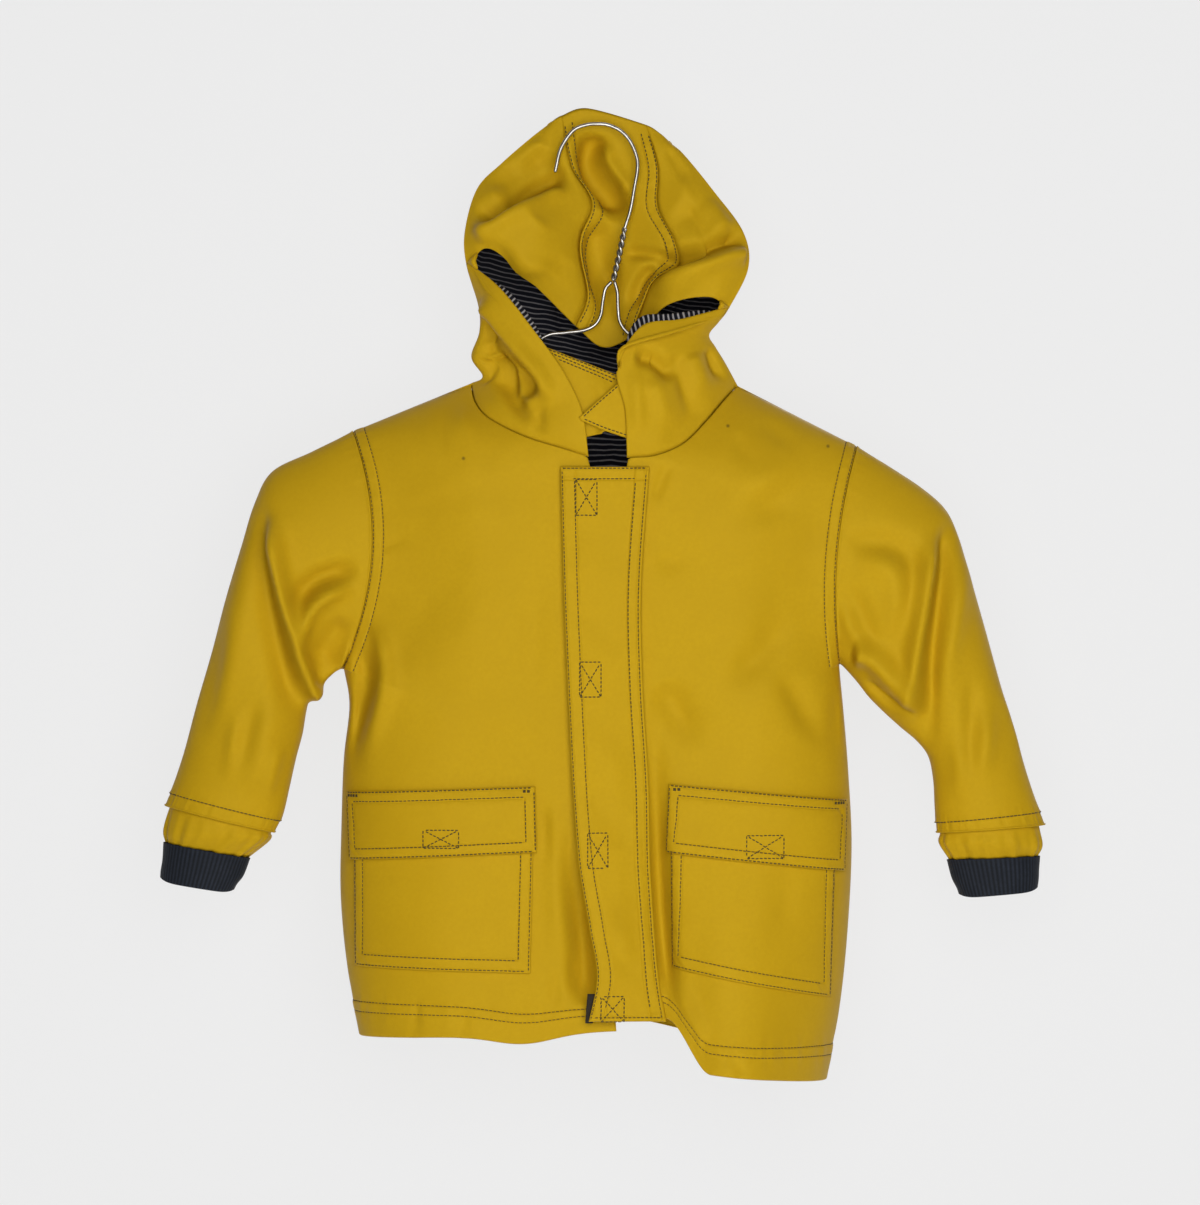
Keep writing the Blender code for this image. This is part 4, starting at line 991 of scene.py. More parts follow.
SEAM_TO_FOLD = (0.0, 0.36, 0.72, 1.0)
HOOD_BOW = 2.2
CORNER, CROWN = 5, 10  # table rows of the mouth's corner and of the crown
SEAM, MIDDLE, SIDES = 3.0, 4.0, 8.0  # guide lines across: fold 0, seam 3, middle 4, seam 5, fold 8
FLAP_LINES = [  # each from brow to crown, between the right fold and the left one
    [(-67, -13, -77), (-63, -17, -67), (-58, -10, -46), (-47, 0, -31), (-36, 7, -12), (-28, 10, 4)],
    [(-43, -6, -96), (-42, -16, -84), (-38, -16, -62), (-34, -3, -44), (-30, 6, -20), (-26, 9, 5.5)],
    [(-13, 4, -124), (-5, 2, -104), (-9, 0, -74), (-3, 4, -46), (-16, 5, -24), (-22, 8.5, 7.5)],
    [(4, 8, -137), (6, 8, -112), (10, 6, -82), (14, 7, -53), (6, 12, -25), (-6, 8.5, 12)],
    [(22, 5, -130), (30, 3, -103), (49, -3, -78), (38, 4, -50), (38, 5, -25), (31, 8.5, 1.5)],
    [(44, -10, -112), (53, -14, -98), (66, -12, -76), (56, -3, -48), (46, 4, -21), (39.5, 9, -3.6)],
    [(70, -14, -107), (77, -14, -94), (82, -8, -71), (65, 0, -45), (51, 6, -18), (43.4, 10, -6.8)],
]
FACE_EDGE = {
    "right": [
        (-6, -36, -207.5), (-10, -37, -179), (-22, -35, -154), (-40, -32, -129), (-60, -25, -104),
        (-81, -8, -85),
    ],
    "left": [
        (19.5, -36, -208.5), (18, -38, -178), (13, -37, -153), (27, -31, -128), (52, -25, -123),
        (82, -8, -114),
    ],
}
COLLAR_BOW = 0.75
LAPEL = [(13, -37, -153), (17, -38.5, -141), (46, -33, -131.5), (79, -10, -119)]
LAPEL_FROM, LAPEL_CREST = 2, (0.0, -3.2, 0.6)
CORNER_REACH = {"right": 10.0, "left": 8.0}  # how far the mouth's corner is closed by the turned edge
GUSSET_STITCH = 7.0  # from the seam to the second row of stitches
FLAP_FOLDS = [
    (-16.0, 7.0, 0.0, 0.1, 0.3, [(-1, -3), (-3, -13), (-2, -24), (3, -33), (9, -41), (12, -51), (8, -61)]),
    (6.0, 5.0, 0.0, 0.2, 0.3, [(5, -6), (6, -19), (11, -28), (17, -37), (21, -47)]),
    (-10.0, 8.0, 0.0, 0.3, 0.3, [(6, -56), (1, -68), (1, -81), (5, -96), (6, -112)]),
    (-5.0, 14.0, 0.0, 0.3, 0.2, [(12, -48), (16, -72), (14, -98), (8, -122)]),
    (7.0, 5.5, 0.0, 0.1, 0.2, [(-76, -73), (-64, -62), (-51, -54), (-38, -47.5), (-28, -41.5), (-19, -37)]),
    (-12.0, 5.5, 0.0, 0.1, 0.2, [(-74, -60), (-62, -51), (-49, -43), (-37, -37), (-27, -32), (-18, -28)]),
    (-7.0, 11.0, 0.0, 0.3, 0.3, [(-66, -44), (-52, -34), (-38, -23), (-30, -12)]),
    (3.0, 6.0, 0.0, 0.3, 0.3, [(-56, -26), (-44, -15), (-34, -5)]),
    (3.4, 6.0, 0.0, 0.3, 0.3, [(-60, -83), (-46, -89), (-33, -91), (-20, -89)]),
    (-4.0, 4.0, 0.0, 0.3, 0.3, [(-42, -99), (-32, -94), (-24, -88), (-18, -82)]),
    (1.6, 3.0, 0.0, 0.3, 0.5, [(-48, -54), (-38, -61), (-29, -69)]),
    (-12.0, 5.0, 0.0, 0.1, 0.3, [(95, -69), (83, -71), (68, -76), (54, -82), (42, -87), (33, -92)]),
    (7.0, 6.0, 0.0, 0.1, 0.3, [(95, -80), (83, -82), (68, -88), (55, -93), (43, -99), (33, -107)]),
    (-6.0, 9.0, 0.0, 0.3, 0.4, [(48, -50), (58, -56), (67, -66), (78, -72)]),
    (2.0, 8.0, 0.0, 0.3, 0.3, [(68, -44), (76, -56), (80, -66)]),
    (-5.0, 4.0, 0.0, 0.2, 0.3, [(14, -78), (26, -79), (38, -81), (46, -86)]),
    (-7.0, 4.0, 0.0, 0.2, 0.3, [(37, -87), (29, -94), (24, -104), (21, -116)]),
    (-2.6, 5.0, 0.0, 0.3, 0.4, [(44, -10), (50, -24), (56, -38)]),
]
COLLAR_FOLDS = {
    "right": [
        (-14.0, 6.5, 0.0, 0.1, 0.25, [(-77, -121), (-68, -137), (-57, -152), (-46, -164), (-39, -173)]),
        (
            6.0, 5.0, 0.0, 0.1, 0.3,
            [(-73, -108), (-62, -124), (-50, -140), (-39, -153), (-31, -167), (-28, -178)]
        ),
        (
            7.0, 4.5, 0.0, 0.1, 0.3,
            [(-77, -137), (-69, -135.5), (-63.5, -141), (-58, -151), (-52, -162), (-45, -171), (-38, -176)]
        ),
        (
            -9.0, 4.0, 0.0, 0.15, 0.4,
            [(-70, -145), (-64, -150), (-58, -160), (-51, -172), (-45, -180), (-39, -187)]
        ),
        (-7.0, 4.0, 0.0, 0.1, 0.3, [(-79, -147), (-72, -153), (-66, -160)]),
        (-3.0, 4.0, 0.0, 0.3, 0.5, [(-37, -174), (-36, -186), (-33, -197)]),
    ],
    "left": [
        (-7.0, 5.0, 0.0, 0.2, 0.3, [(22, -145), (33, -147), (42, -153), (49, -161)]),
        (2.6, 5.0, 0.0, 0.3, 0.4, [(23, -152), (25, -174), (25, -198)]),
        (2.8, 6.0, 0.0, 0.3, 0.4, [(32, -158), (39, -172), (44, -190)]),
        (-3.6, 5.0, 0.0, 0.2, 0.4, [(47, -141), (52, -156), (56, -170), (58, -186)]),
        (3.0, 6.0, 0.0, 0.2, 0.4, [(58, -142), (64, -156), (66, -170)]),
        (-2.8, 7.0, 0.0, 0.3, 0.3, [(70, -171), (56, -188), (41, -203)]),
        (-4.0, 4.0, 0.0, 0.2, 0.4, [(71, -138), (74, -150), (80, -161)]),
    ],
}
HOOD_BACK_FOLDS = [
    (-3.1, 8.0, 0.0, 0.3, 0.4, [(-40, -60), (-34, -92), (-42, -128)]),
    (2.8, 9.0, 0.0, 0.3, 0.4, [(-10, -40), (4, -78), (-2, -118)]),
    (-3.4, 8.0, 0.0, 0.3, 0.4, [(50, -56), (42, -94), (52, -132)]),
    (-2.5, 6.0, 0.0, 0.2, 0.3, [(-58, -142), (-24, -152), (14, -148), (50, -154)]),
]


def span(guides, at):
    """Points across guide lines: guides holds a row of points for each row, at the places between them.
    A cubic joins each two, its end slopes half the difference of the neighbours but no longer than
    1.4 times the step between the two."""
    ends = np.concatenate(
        [2 * guides[:, :1] - guides[:, 1:2], guides, 2 * guides[:, -1:] - guides[:, -2:-1]], 1
    )
    at = np.clip(at, 0, guides.shape[1] - 1)
    first = np.minimum(at.astype(int), guides.shape[1] - 2)
    t = (at - first)[..., None]
    line = np.arange(len(guides))[:, None]
    a, b, c, d = (ends[line, first + k] for k in range(4))
    most = 1.4 * np.linalg.norm(c - b, axis=-1, keepdims=True)
    leave, arrive = (
        slope * np.minimum(1, most / np.maximum(np.linalg.norm(slope, axis=-1, keepdims=True), 1e-9))
        for slope in ((c - a) / 2, (d - b) / 2)
    )
    over = t * t * (3 - 2 * t)
    return b + (c - b) * over + leave * t * (1 - t) ** 2 - arrive * t * t * (1 - t)


def hood_rear(row, at):
    """The hood's back: from the middle line towards the fold, x goes evenly, depth as a full ellipse
    and height with the square."""
    w = through([(s,) for s in SEAM_AT], row)
    t = np.clip((SEAM - np.minimum(at, SIDES - at)) / SEAM, 0, 1)
    outside = w + (1 - w) * np.interp(t, np.linspace(0, 1, 4), SEAM_TO_FOLD)
    inside = w * np.abs(at - MIDDLE)
    share = np.where(np.abs(at - MIDDLE) > 1, outside, inside)[..., None]
    middle = through(HOOD_BACK, row)[:, None]
    right, left = (through(HOOD_FOLD[side], row)[:, None] for side in ("right", "left"))
    fold = np.where((at < MIDDLE)[..., None], right, left)
    bow = (1 - share**HOOD_BOW) ** (1 / HOOD_BOW)
    point = middle + (fold - middle) * share
    point[..., 1:2] = fold[..., 1:2] + (middle - fold)[..., 1:2] * bow
    point[..., 2:] = middle[..., 2:] + (fold - middle)[..., 2:] * share**2
    around = np.where(at < SEAM, at, np.where(at > SIDES - SEAM, at + 2, SEAM + 2 * (at - SEAM))) / 5
    neck = np.where(
        (around <= 1)[..., None],
        evenly(BACK_NECK["right"], np.clip(1 - around, 0, 1)),
        evenly(BACK_NECK["left"], np.clip(around - 1, 0, 1)),
    )
    return point, neck


def hood_back_surface(row, at):
    """The back, drawn to the neckline over its first row and to the flap's top over its last."""
    point, neck = hood_rear(row, at)
    start = hood_rear(np.zeros(len(row)), at)[0]
    end = hood_rear(np.full(len(row), float(CROWN)), at)[0]
    top = hood_flap_surface(np.full(len(row), float(CROWN)), at)
    point = point + (neck - start) * smooth(1 - row)[:, None, None]
    return point + (top - end) * smooth(row - CROWN + 1)[:, None, None]


def hood_flap_surface(row, at):
    """The forward part: across each row, a smooth curve through its nine guide lines."""
    guides = [through(HOOD_FOLD["right"], row)]
    guides += [through(line, row - CORNER) for line in FLAP_LINES]
    guides += [through(HOOD_FOLD["left"], row)]
    return span(np.stack(guides, 1), at)


def collar_surface(side, row, share):
    """The lower front: straight from the fold to the face's edge, coming forward early."""
    fold = through(HOOD_FOLD[side], row)[:, None]
    edge = through(FACE_EDGE[side], row)[:, None]
    point = fold + (edge - fold) * share[..., None]
    bow = np.sin(math.pi / 2 * share) ** COLLAR_BOW
    point[..., 1] = fold[..., 1] + (edge - fold)[..., 1] * bow
    neck = evenly(FRONT_NECK[side], 1 - share)
    start_fold, start_edge = np.array(HOOD_FOLD[side][0]), np.array(FACE_EDGE[side][0])
    start = start_fold + (start_edge - start_fold) * share[..., None]
    start[..., 1] = start_fold[1] + (start_edge - start_fold)[1] * bow
    return point + (neck - start) * smooth(1 - row)[:, None, None]


HEM_ROLL, HEM_BACK, LIP_BACK = 0.9, 7.0, 2.5  # a free edge's turn, how far it lies back, and the lapel's


def hemmed(line, ahead, face, radius=HEM_ROLL, back=HEM_BACK):
    """Rows that carry a free edge round on itself: half a turn about the radius, then straight back."""
    turns = np.linspace(0, math.pi, 7)[1:]
    rows = [line + radius * (math.sin(a) * ahead - (1 - math.cos(a)) * face) for a in turns]
    rows += [rows[-1] - ahead * back * share for share in (0.3, 0.65, 1.0)]
    return np.stack(rows)


low_rows = np.linspace(0, CORNER, 58)
high_rows = np.linspace(CORNER, CROWN, 84)
rear_rows = np.concatenate([low_rows, high_rows[1:]])
to_seam = SEAM * (1 - np.cos(np.linspace(0, math.pi / 2, 34)))
GUSSET_STEPS, LAPEL_STEPS = 26, 26  # columns across the gusset's middle and across the turned lapel
near_seam = spacing(9.0, [0.0, SEAM_EDGE, GUSSET_STITCH], 1.2, 0.6)


def gusset_columns(surface, row):
    """Columns from seam to seam: fixed distances beside each seam, even steps between."""
    two = surface(row, np.broadcast_to([SEAM, MIDDLE, SIDES - SEAM], (len(row), 3)))
    half = [np.linalg.norm(two[:, 1] - two[:, 0], axis=-1), np.linalg.norm(two[:, 2] - two[:, 1], axis=-1)]
    left = near_seam[None] / np.maximum(half[0], 9.5)[:, None]
    right = near_seam[None] / np.maximum(half[1], 9.5)[:, None]
    inner = np.linspace(0, 1, GUSSET_STEPS)[1:-1]
    between = left[:, -1:] + (2 - right[:, -1:] - left[:, -1:]) * inner[None]
    return SEAM + np.concatenate([left, between, 2 - right[:, ::-1]], 1)


flap_at = gusset_columns(hood_flap_surface, high_rows)
rear_at = gusset_columns(hood_back_surface, rear_rows)
rear_at = rear_at + (flap_at[-1] - rear_at) * smooth(rear_rows - CROWN + 2)[:, None]
outside = np.broadcast_to(to_seam[:-1], (len(high_rows), len(to_seam) - 1))
flap_at = np.concatenate([outside, flap_at, SIDES - outside[:, ::-1]], 1)
outside = np.broadcast_to(to_seam[:-1], (len(rear_rows), len(to_seam) - 1))
rear_at = np.concatenate([outside, rear_at, SIDES - outside[:, ::-1]], 1)
flap = hood_flap_surface(high_rows, flap_at)
rear = hood_back_surface(rear_rows, rear_at)

# One sheet from the brow over the crown to the back of the neck.
hood = np.concatenate([flap, rear[::-1][1:]])
hood_normal = outward(hood)
first, last = len(to_seam) - 1, len(to_seam) + 2 * len(near_seam) + GUSSET_STEPS - 4
run = travelled(hood, 1)
from_right, from_left = run - run[:, first : first + 1], run[:, last : last + 1] - run
from_seam = np.minimum(from_right, from_left)
along = travelled(hood, 0)
x, z = hood[..., 0], hood[..., 2]
is_flap = np.arange(len(hood))[:, None] < len(flap)
to_fold = np.minimum(run, run[:, -1:] - run)
lift = np.where(is_flap, strokes(x, z, FLAP_FOLDS), strokes(x, z, HOOD_BACK_FOLDS))
crown_line = np.abs(np.arange(len(hood)) - len(flap))[:, None]
lift = (lift + waves(x, z, 42, 0.35, 51)) * smooth(crown_line / 14)
lift = lift * smooth(to_fold / 9) * smooth((len(hood) - 1 - np.arange(len(hood)))[:, None] / 8)
strip = 0.5 * smooth(from_seam / 0.8) * smooth((GUSSET_STITCH + 0.6 - from_seam) / 1.2)
dents = -0.9 * bell(from_seam, 0.7) - 0.4 * bell(from_seam - SEAM_EDGE, 0.5)
dents = dents - 0.5 * bell(from_seam - GUSSET_STITCH, 0.6)
lift = lift + (strip + dents + puckers(along, from_seam - 4, 53, 0.16, 6.0)) * smooth(crown_line / 12)
neck_line = (len(hood) - 1 - np.arange(len(hood)))[:, None]
lift = lift - 1.0 * bell(neck_line, 1.2)
bare = hood
hood = bare + hood_normal * lift[..., None]
hood[:, [0, -1]] = bare[:, [0, -1]]

narrow = smooth(to_fold[0] / 10)[:, None]
brow_hem = hemmed(
    hood[0], unit(hood[0] - hood[2]), hood_normal[0], HEM_ROLL * narrow, HEM_BACK * narrow
)[::-1]
seam_lines = [
    stitch_line(hood, hood_normal, rows, column)
    for rows in (np.arange(2, len(flap) - 3), np.arange(len(flap) + 3, len(hood) - 2))
    for column in (
        first + np.searchsorted(near_seam, SEAM_EDGE - 1e-6),
        first + np.searchsorted(near_seam, GUSSET_STITCH - 1e-6),
        last - np.searchsorted(near_seam, SEAM_EDGE - 1e-6),
        last - np.searchsorted(near_seam, GUSSET_STITCH - 1e-6),
    )
]
centre_top = np.concatenate([brow_hem[:, first : last + 1], hood[:, first : last + 1]])
HOOD_CLOTH = 0.45
hood_centre = wall(grid_mesh("hood_gusset", [(centre_top, False)], coated), HOOD_CLOTH)
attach(hood_centre, "root")
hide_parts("hood_centre")
sewn = stitching("hood_stitches", seam_lines)

# The collars: the sides' lower fronts, with the folds that the cloth makes above the shoulders.
across = np.append((1 - np.cos(np.linspace(0, math.pi / 2, 40)))[:-1], 1.0)
across = np.unique(np.concatenate([across, np.linspace(0, 1, 60)]).round(4))
collars, collar_normals = {}, {}
for side, flip in (("right", False), ("left", True)):
    share = np.broadcast_to(across, (len(low_rows), len(across)))
    grid = collar_surface(side, low_rows, share)
    normal = outward(grid, flip)
    x, z = grid[..., 0], grid[..., 2]
    width = np.linalg.norm(grid[:, -1] - grid[:, 0], axis=-1)[:, None]
    free = smooth(share * width / 8) * smooth(low_rows / 0.35)[:, None]
    free = free * smooth((CORNER - low_rows) / 0.3)[:, None]
    lift = (strokes(x, z, COLLAR_FOLDS[side]) + waves(x, z, 34, 0.3, 57)) * free
    if side == "left":
        lift = lift * smooth((1 - share) * width / 3 + (low_rows[:, None] < LAPEL_FROM))
    lift = lift - 1.0 * bell(low_rows[:, None] / 0.12, 1.0) * (share > 0.001)
    collars[side], collar_normals[side] = grid + normal * lift[..., None], normal

for side, flip in (("right", False), ("left", True)):
    grid, normal = collars[side], collar_normals[side]
    columns = slice(0, first + 1) if side == "right" else slice(last, None)
    upper = np.concatenate([brow_hem[:, columns], hood[:, columns]])
    edge = grid[:, -1]
    ahead = unit(grid[:, -1] - grid[:, -3])
    narrow = smooth((CORNER - low_rows) / 0.8)[:, None]
    grids = [(upper, False)]
    if side == "right":
        hem = hemmed(edge, ahead, normal[:, -1], HEM_ROLL * narrow, HEM_BACK * narrow)
        grids.append((np.concatenate([grid, hem.transpose(1, 0, 2)], 1), flip))
    else:
        low = low_rows <= LAPEL_FROM
        turned = hemmed(edge[low], ahead[low], normal[low, -1]).transpose(1, 0, 2)
        grids.append((grid, flip))
        grids.append((np.concatenate([edge[low][:, None], turned], 1), flip))
        high = low_rows >= LAPEL_FROM
        ridge = edge[high]
        lip = through(LAPEL, low_rows[high] - LAPEL_FROM)
        fade = np.sin(math.pi * np.clip((low_rows[high] - LAPEL_FROM) / 3, 0, 1))[:, None] ** 0.5
        crest = ridge + np.array(LAPEL_CREST) * fade
        across = np.broadcast_to(np.linspace(0, 2, LAPEL_STEPS), (len(lip), LAPEL_STEPS))
        turned = span(np.stack([ridge, crest, lip], 1), across)
        outer = outward(turned, flip)
        roll = 0.5 * np.sin(math.pi * np.linspace(0, 1, LAPEL_STEPS))[None, :, None] * fade[:, None]
        turned = turned + outer * roll
        ahead = unit(turned[:, -1] - turned[:, -3])
        hem = hemmed(turned[:, -1], ahead, outer[:, -1], HEM_ROLL * narrow[high], LIP_BACK * narrow[high])
        grids.append((np.concatenate([turned, hem.transpose(1, 0, 2)], 1), flip))
    reach = CORNER_REACH[side]
    brow = hood[0] if side == "right" else hood[0, ::-1]
    near = np.linspace(0, reach, 14)
    upper_edge = between(near, lengths(brow), brow)
    lower = edge[::-1] if side == "right" else turned[::-1, LAPEL_STEPS // 2]
    lower_edge = between(near, lengths(lower), lower)
    lie = np.linspace(0, 1, 16)[None, :, None]
    patch = lower_edge[:, None] * (1 - lie) + upper_edge[:, None] * lie
    round_off = np.sin(math.pi * lie[..., 0])
    patch[..., 1] -= 2.5 * round_off * smooth(near / reach)[:, None]
    patch[..., 0] += (1 if side == "left" else -1) * 0.3 * reach * round_off * (near / reach)[:, None]
    forward = outward(patch, flip=outward(patch)[8, 8, 1] > 0)
    thin = round_off.T**0.5
    rim = hemmed(patch[-1], unit(patch[-1] - patch[-3]), forward[-1], 1.2 * thin, 4.0 * thin)
    patch = np.concatenate([patch, rim])
    grids.append((patch, side == "left"))
    piece = wall(grid_mesh("hood_side_" + side, grids, coated), HOOD_CLOTH)
    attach(piece, "root")
    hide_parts("hood_side_" + side)


# ==== Striped linings: navy and grey cotton jersey inside the hood, its edges and the neck ====
# The jersey is sewn in behind the coated cloth; strips of it follow the inside of both face edges.
STRIPE, STRIPE_DRIFT = 3.1, 1.6  # one dark and one pale stripe; how far they wander, in stripes
JERSEY_NAVY, JERSEY_GREY = (0.006, 0.0065, 0.011, 1), (0.30, 0.29, 0.29, 1)
JERSEY_PALE, LOOPS = (0.52, 0.50, 0.50, 1), 1700.0
LINING, LINING_DEEP, NECK_DEEP = 0.8, 1.9, 2.6  # thickness; how far behind the hood and the back it lies
NECK_LINING_ROWS, NECK_LINING_FROM = (8.6, 12.96), 0.6  # where it reaches on each half of the back

striped, ins, outs = group(
    "striped",
    ("Place", "in", "Vector", None),
    ("Way", "in", "Vector", (0, 0, 1)),
    ("Pitch", "in", "Float", STRIPE * MM),
    ("Thin", "in", "Float", 0.15),
    ("Pale under painted shade", "in", "Float", 1.0),
    ("Colour", "out", "Color", None),
    ("Height", "out", "Float", None),
)
drift = noise(striped, ins.outputs["Place"], 38.0, 2.0)
both_ways = [(0, ins.outputs["Place"]), (1, ins.outputs["Way"])]
along = put(striped, "VectorMath", both_ways, operation="DOT_PRODUCT").outputs["Value"]
count = calc(striped, "DIVIDE", along, ins.outputs["Pitch"])
moved = calc(striped, "MULTIPLY_ADD", drift, STRIPE_DRIFT, count)
wave = calc(striped, "SINE", calc(striped, "MULTIPLY", moved, 2 * math.pi))
wide = put(striped, "MapRange", [("Value", wave), ("From Min", ins.outputs["Thin"]), ("From Max", 0.95)])
# Below 1 this darkens the pale stripes: painted shade for linings that lie in shade.
pale_under_painted_shade = calc(striped, "MULTIPLY", wide.outputs[0], ins.outputs["Pale under painted shade"])
loops = noise(striped, ins.outputs["Place"], LOOPS, 1.0)
grey = mixed(striped, loops, JERSEY_GREY, JERSEY_PALE)
both = mixed(striped, pale_under_painted_shade, JERSEY_NAVY, grey)
striped.links.new(both, outs.inputs["Colour"])
striped.links.new(loops, outs.inputs["Height"])


def jersey(name, way, thin=0.15, pale_under_painted_shade=1.0):
    """Striped jersey whose stripes lie square to this direction; the last argument, below 1, darkens its pale
    stripes as painted shade.
    """
    made, nodes, links, surface = shader(name, (0.05, 0.05, 0.06), 0.92)
    place = nodes.new("ShaderNodeTexCoord").outputs["Object"]
    pattern = use(made, striped, [("Place", place), ("Way", way), ("Thin", thin), ("Pale under painted shade", pale_under_painted_shade)])
    links.new(pattern.outputs["Colour"], surface.inputs["Base Color"])
    bumped(made, pattern.outputs["Height"], 0.4, 0.3)
    surface.inputs["Specular IOR Level"].default_value = 0.15
    return made


rows, columns = slice(1, -12), slice(7, -7)
finished = hood[len(flap) - 1 :][::-1]
sunk = finished - outward(finished, flip=True) * LINING_DEEP
sunk = sunk[rows, columns][::2, ::2]
# Inside the hood the pale stripes are dimmed to 0.4: painted shade.
cloth = jersey("jersey_back_painted_shade", (0.2, 0, 1), 0.45, 0.4)
hood_lining = wall(grid_mesh("hood_lining", [(sunk, False)], cloth), LINING, 1.0)
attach(hood_lining, "root")
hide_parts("hood_lining")

for side, way, up, depth, low, high in (
    ("right", (0.62, 0, -0.78), (0.85, 0, 0.5), 4.0, 2.7, 4.3),
    ("left", (0.97, 0, 0.22), (-0.35, 0, 0.94), 7.5, 2.5, 4.75),
):
    grid, normal = collars[side], collar_normals[side]
    rows = (low_rows >= low) & (low_rows <= high)
    edge, up = grid[rows, -1], np.array(up)
    lie = np.linspace(0, 1, 14)[None, :, None]
    start = edge - up * 3.0 - normal[rows, -1] * 2.2
    tall = depth * np.sin(math.pi * np.linspace(0, 1, len(edge)))[:, None] ** 0.4 + 3.0
    strip = start[:, None] + (tall * up)[:, None] * lie
    strip[..., 1] += 5.0 * lie[..., 0] ** 1.5
    made = grid_mesh("lining_strip_" + side, [(strip, side == "left")], jersey("jersey_" + side, way))
    wall(made, LINING, 0.0)
    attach(made, "root")

row = np.linspace(*NECK_LINING_ROWS, 40)
halves = []
for side, flip in (("right", True), ("left", False)):
    share = np.broadcast_to(np.linspace(NECK_LINING_FROM, 1, 24), (len(row), 24))
    grid = back_face(side, np.broadcast_to(row[:, None], share.shape), share)
    halves.append((grid - (0, NECK_DEEP, 0), flip))
# The neck lining's pale stripes are dimmed to half: painted shade.
cloth = jersey("jersey_neck_painted_shade", (0, 0, 0.9), 0.3, 0.5)
neck_lining = wall(grid_mesh("neck_lining", halves, cloth), LINING, 1.0)
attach(neck_lining, "root")
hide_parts("back_neck_lining")


# ==== Throat band and chin tab: a faced band behind the face opening, and a pointed tab over it ====
# Both are two layers of the coated cloth, stitched along their edges; the tab presumably closes with
# hook-and-loop.
THROAT_BAND = [  # left edge and right edge, from top to bottom
    ((-38, -26.5, -137), (21, -29.0, -160)),
    ((-26, -29.0, -158), (22, -31.0, -172)),
    ((-14, -31.0, -182), (22, -31.5, -184)),
    ((-8, -31.8, -196), (10, -32.0, -191)),
]
CHIN_TAB = [  # upper and lower edge, from the tip to the sewn end
    ((-11, -37.8, -183.5), (-9.5, -37.8, -185.5)),
    ((4, -36.2, -170), (4, -36.2, -191.5)),
    ((16, -34.0, -160), (16, -34.0, -195.5)),
    ((22, -33.4, -158), (22, -33.4, -198)),
]
TRIM, THROAT_ROWS, TAB_ROW = 1.2, (1.6, 4.2, 7.0), 2.2  # thickness and rows of stitches


def plate(name, front, thick, material, grooves=None):
    """A closed plate: its front face with a rounded rim, its flat back a thickness behind."""
    rows, columns = front.shape[:2]
    normal = outward(front)
    if normal[rows // 2, columns // 2, 1] > 0:
        normal = -normal
    across, up = travelled(front, 1), travelled(front, 0)
    rim = np.minimum(np.minimum(across, across[:, -1:] - across), np.minimum(up, up[-1:] - up))
    lift = -thick * 0.55 * (1 - rounded(rim / 0.9))
    if grooves is not None:
        lift = lift + grooves(across, across[:, -1:] - across, up, up[-1:] - up)
    face = front + normal * lift[..., None]
    rear = front - normal * thick
    flip = np.cross(front[0, -1] - front[0, 0], front[-1, 0] - front[0, 0])[1] > 0
    ring = np.concatenate(
        [np.arange(columns), [columns - 1] * (rows - 2), np.arange(columns)[::-1], [0] * (rows - 1)]
    )
    line = np.concatenate(
        [[0] * columns, np.arange(1, rows - 1), [rows - 1] * columns, np.arange(rows - 1)[::-1]]
    )
    sides = np.stack([face[line, ring], (0.35 * face + 0.65 * rear)[line, ring], rear[line, ring]])
    return grid_mesh(name, [(face, flip), (rear, not flip), (sides, not flip)], material), face, normal


def inset(front, normal, near, sides):
    """Stitch lines at this distance inside the named sides of a grid."""
    rows, columns = front.shape[:2]
    lines = []
    across, up = travelled(front, 1), travelled(front, 0)
    left = np.array([np.interp(near, line, np.arange(columns)) for line in across])
    right = np.array([np.interp(line[-1] - near, line, np.arange(columns)) for line in across])
    low = np.array([np.interp(near, line, np.arange(rows)) for line in up.T])
    high = np.array([np.interp(line[-1] - near, line, np.arange(rows)) for line in up.T])
    first, last = left.mean(), right.mean()
    bottom, top = low.mean(), high.mean()
    for side in sides:
        if side in "ab":
            at = np.arange(math.ceil(bottom), math.floor(top) + 1)
            lines.append(stitch_line(front, normal, at, (left if side == "a" else right)[at]))
        else:
            at = np.arange(math.ceil(first), math.floor(last) + 1)
            lines.append(stitch_line(front, normal, (low if side == "c" else high)[at], at))
    return lines


def traced(front, normal, start, end):
    """Stitches along a straight line between two spots in x and z, found on the grid."""
    spots = []
    for px, pz in np.array(start) + (np.array(end) - np.array(start)) * np.linspace(0, 1, 24)[:, None]:
        row, column = front.shape[0] / 2, front.shape[1] / 2
        for _ in range(3):
            column = np.interp(px, front[int(row), :, 0], np.arange(front.shape[1]))
            row = np.interp(pz, front[:, int(column), 2], np.arange(front.shape[0]))
        spots.append((row, column))
    spots = np.array(spots)
    return stitch_line(front, normal, spots[:, 0], spots[:, 1])


def crossed(front, normal, x0, x1, z0, z1):
    """Stitches of a box with its two diagonals."""
    a, b, c, d = (x0, z0), (x1, z0), (x1, z1), (x0, z1)
    return [traced(front, normal, *ends) for ends in ((a, b), (b, c), (c, d), (d, a), (a, c), (b, d))]


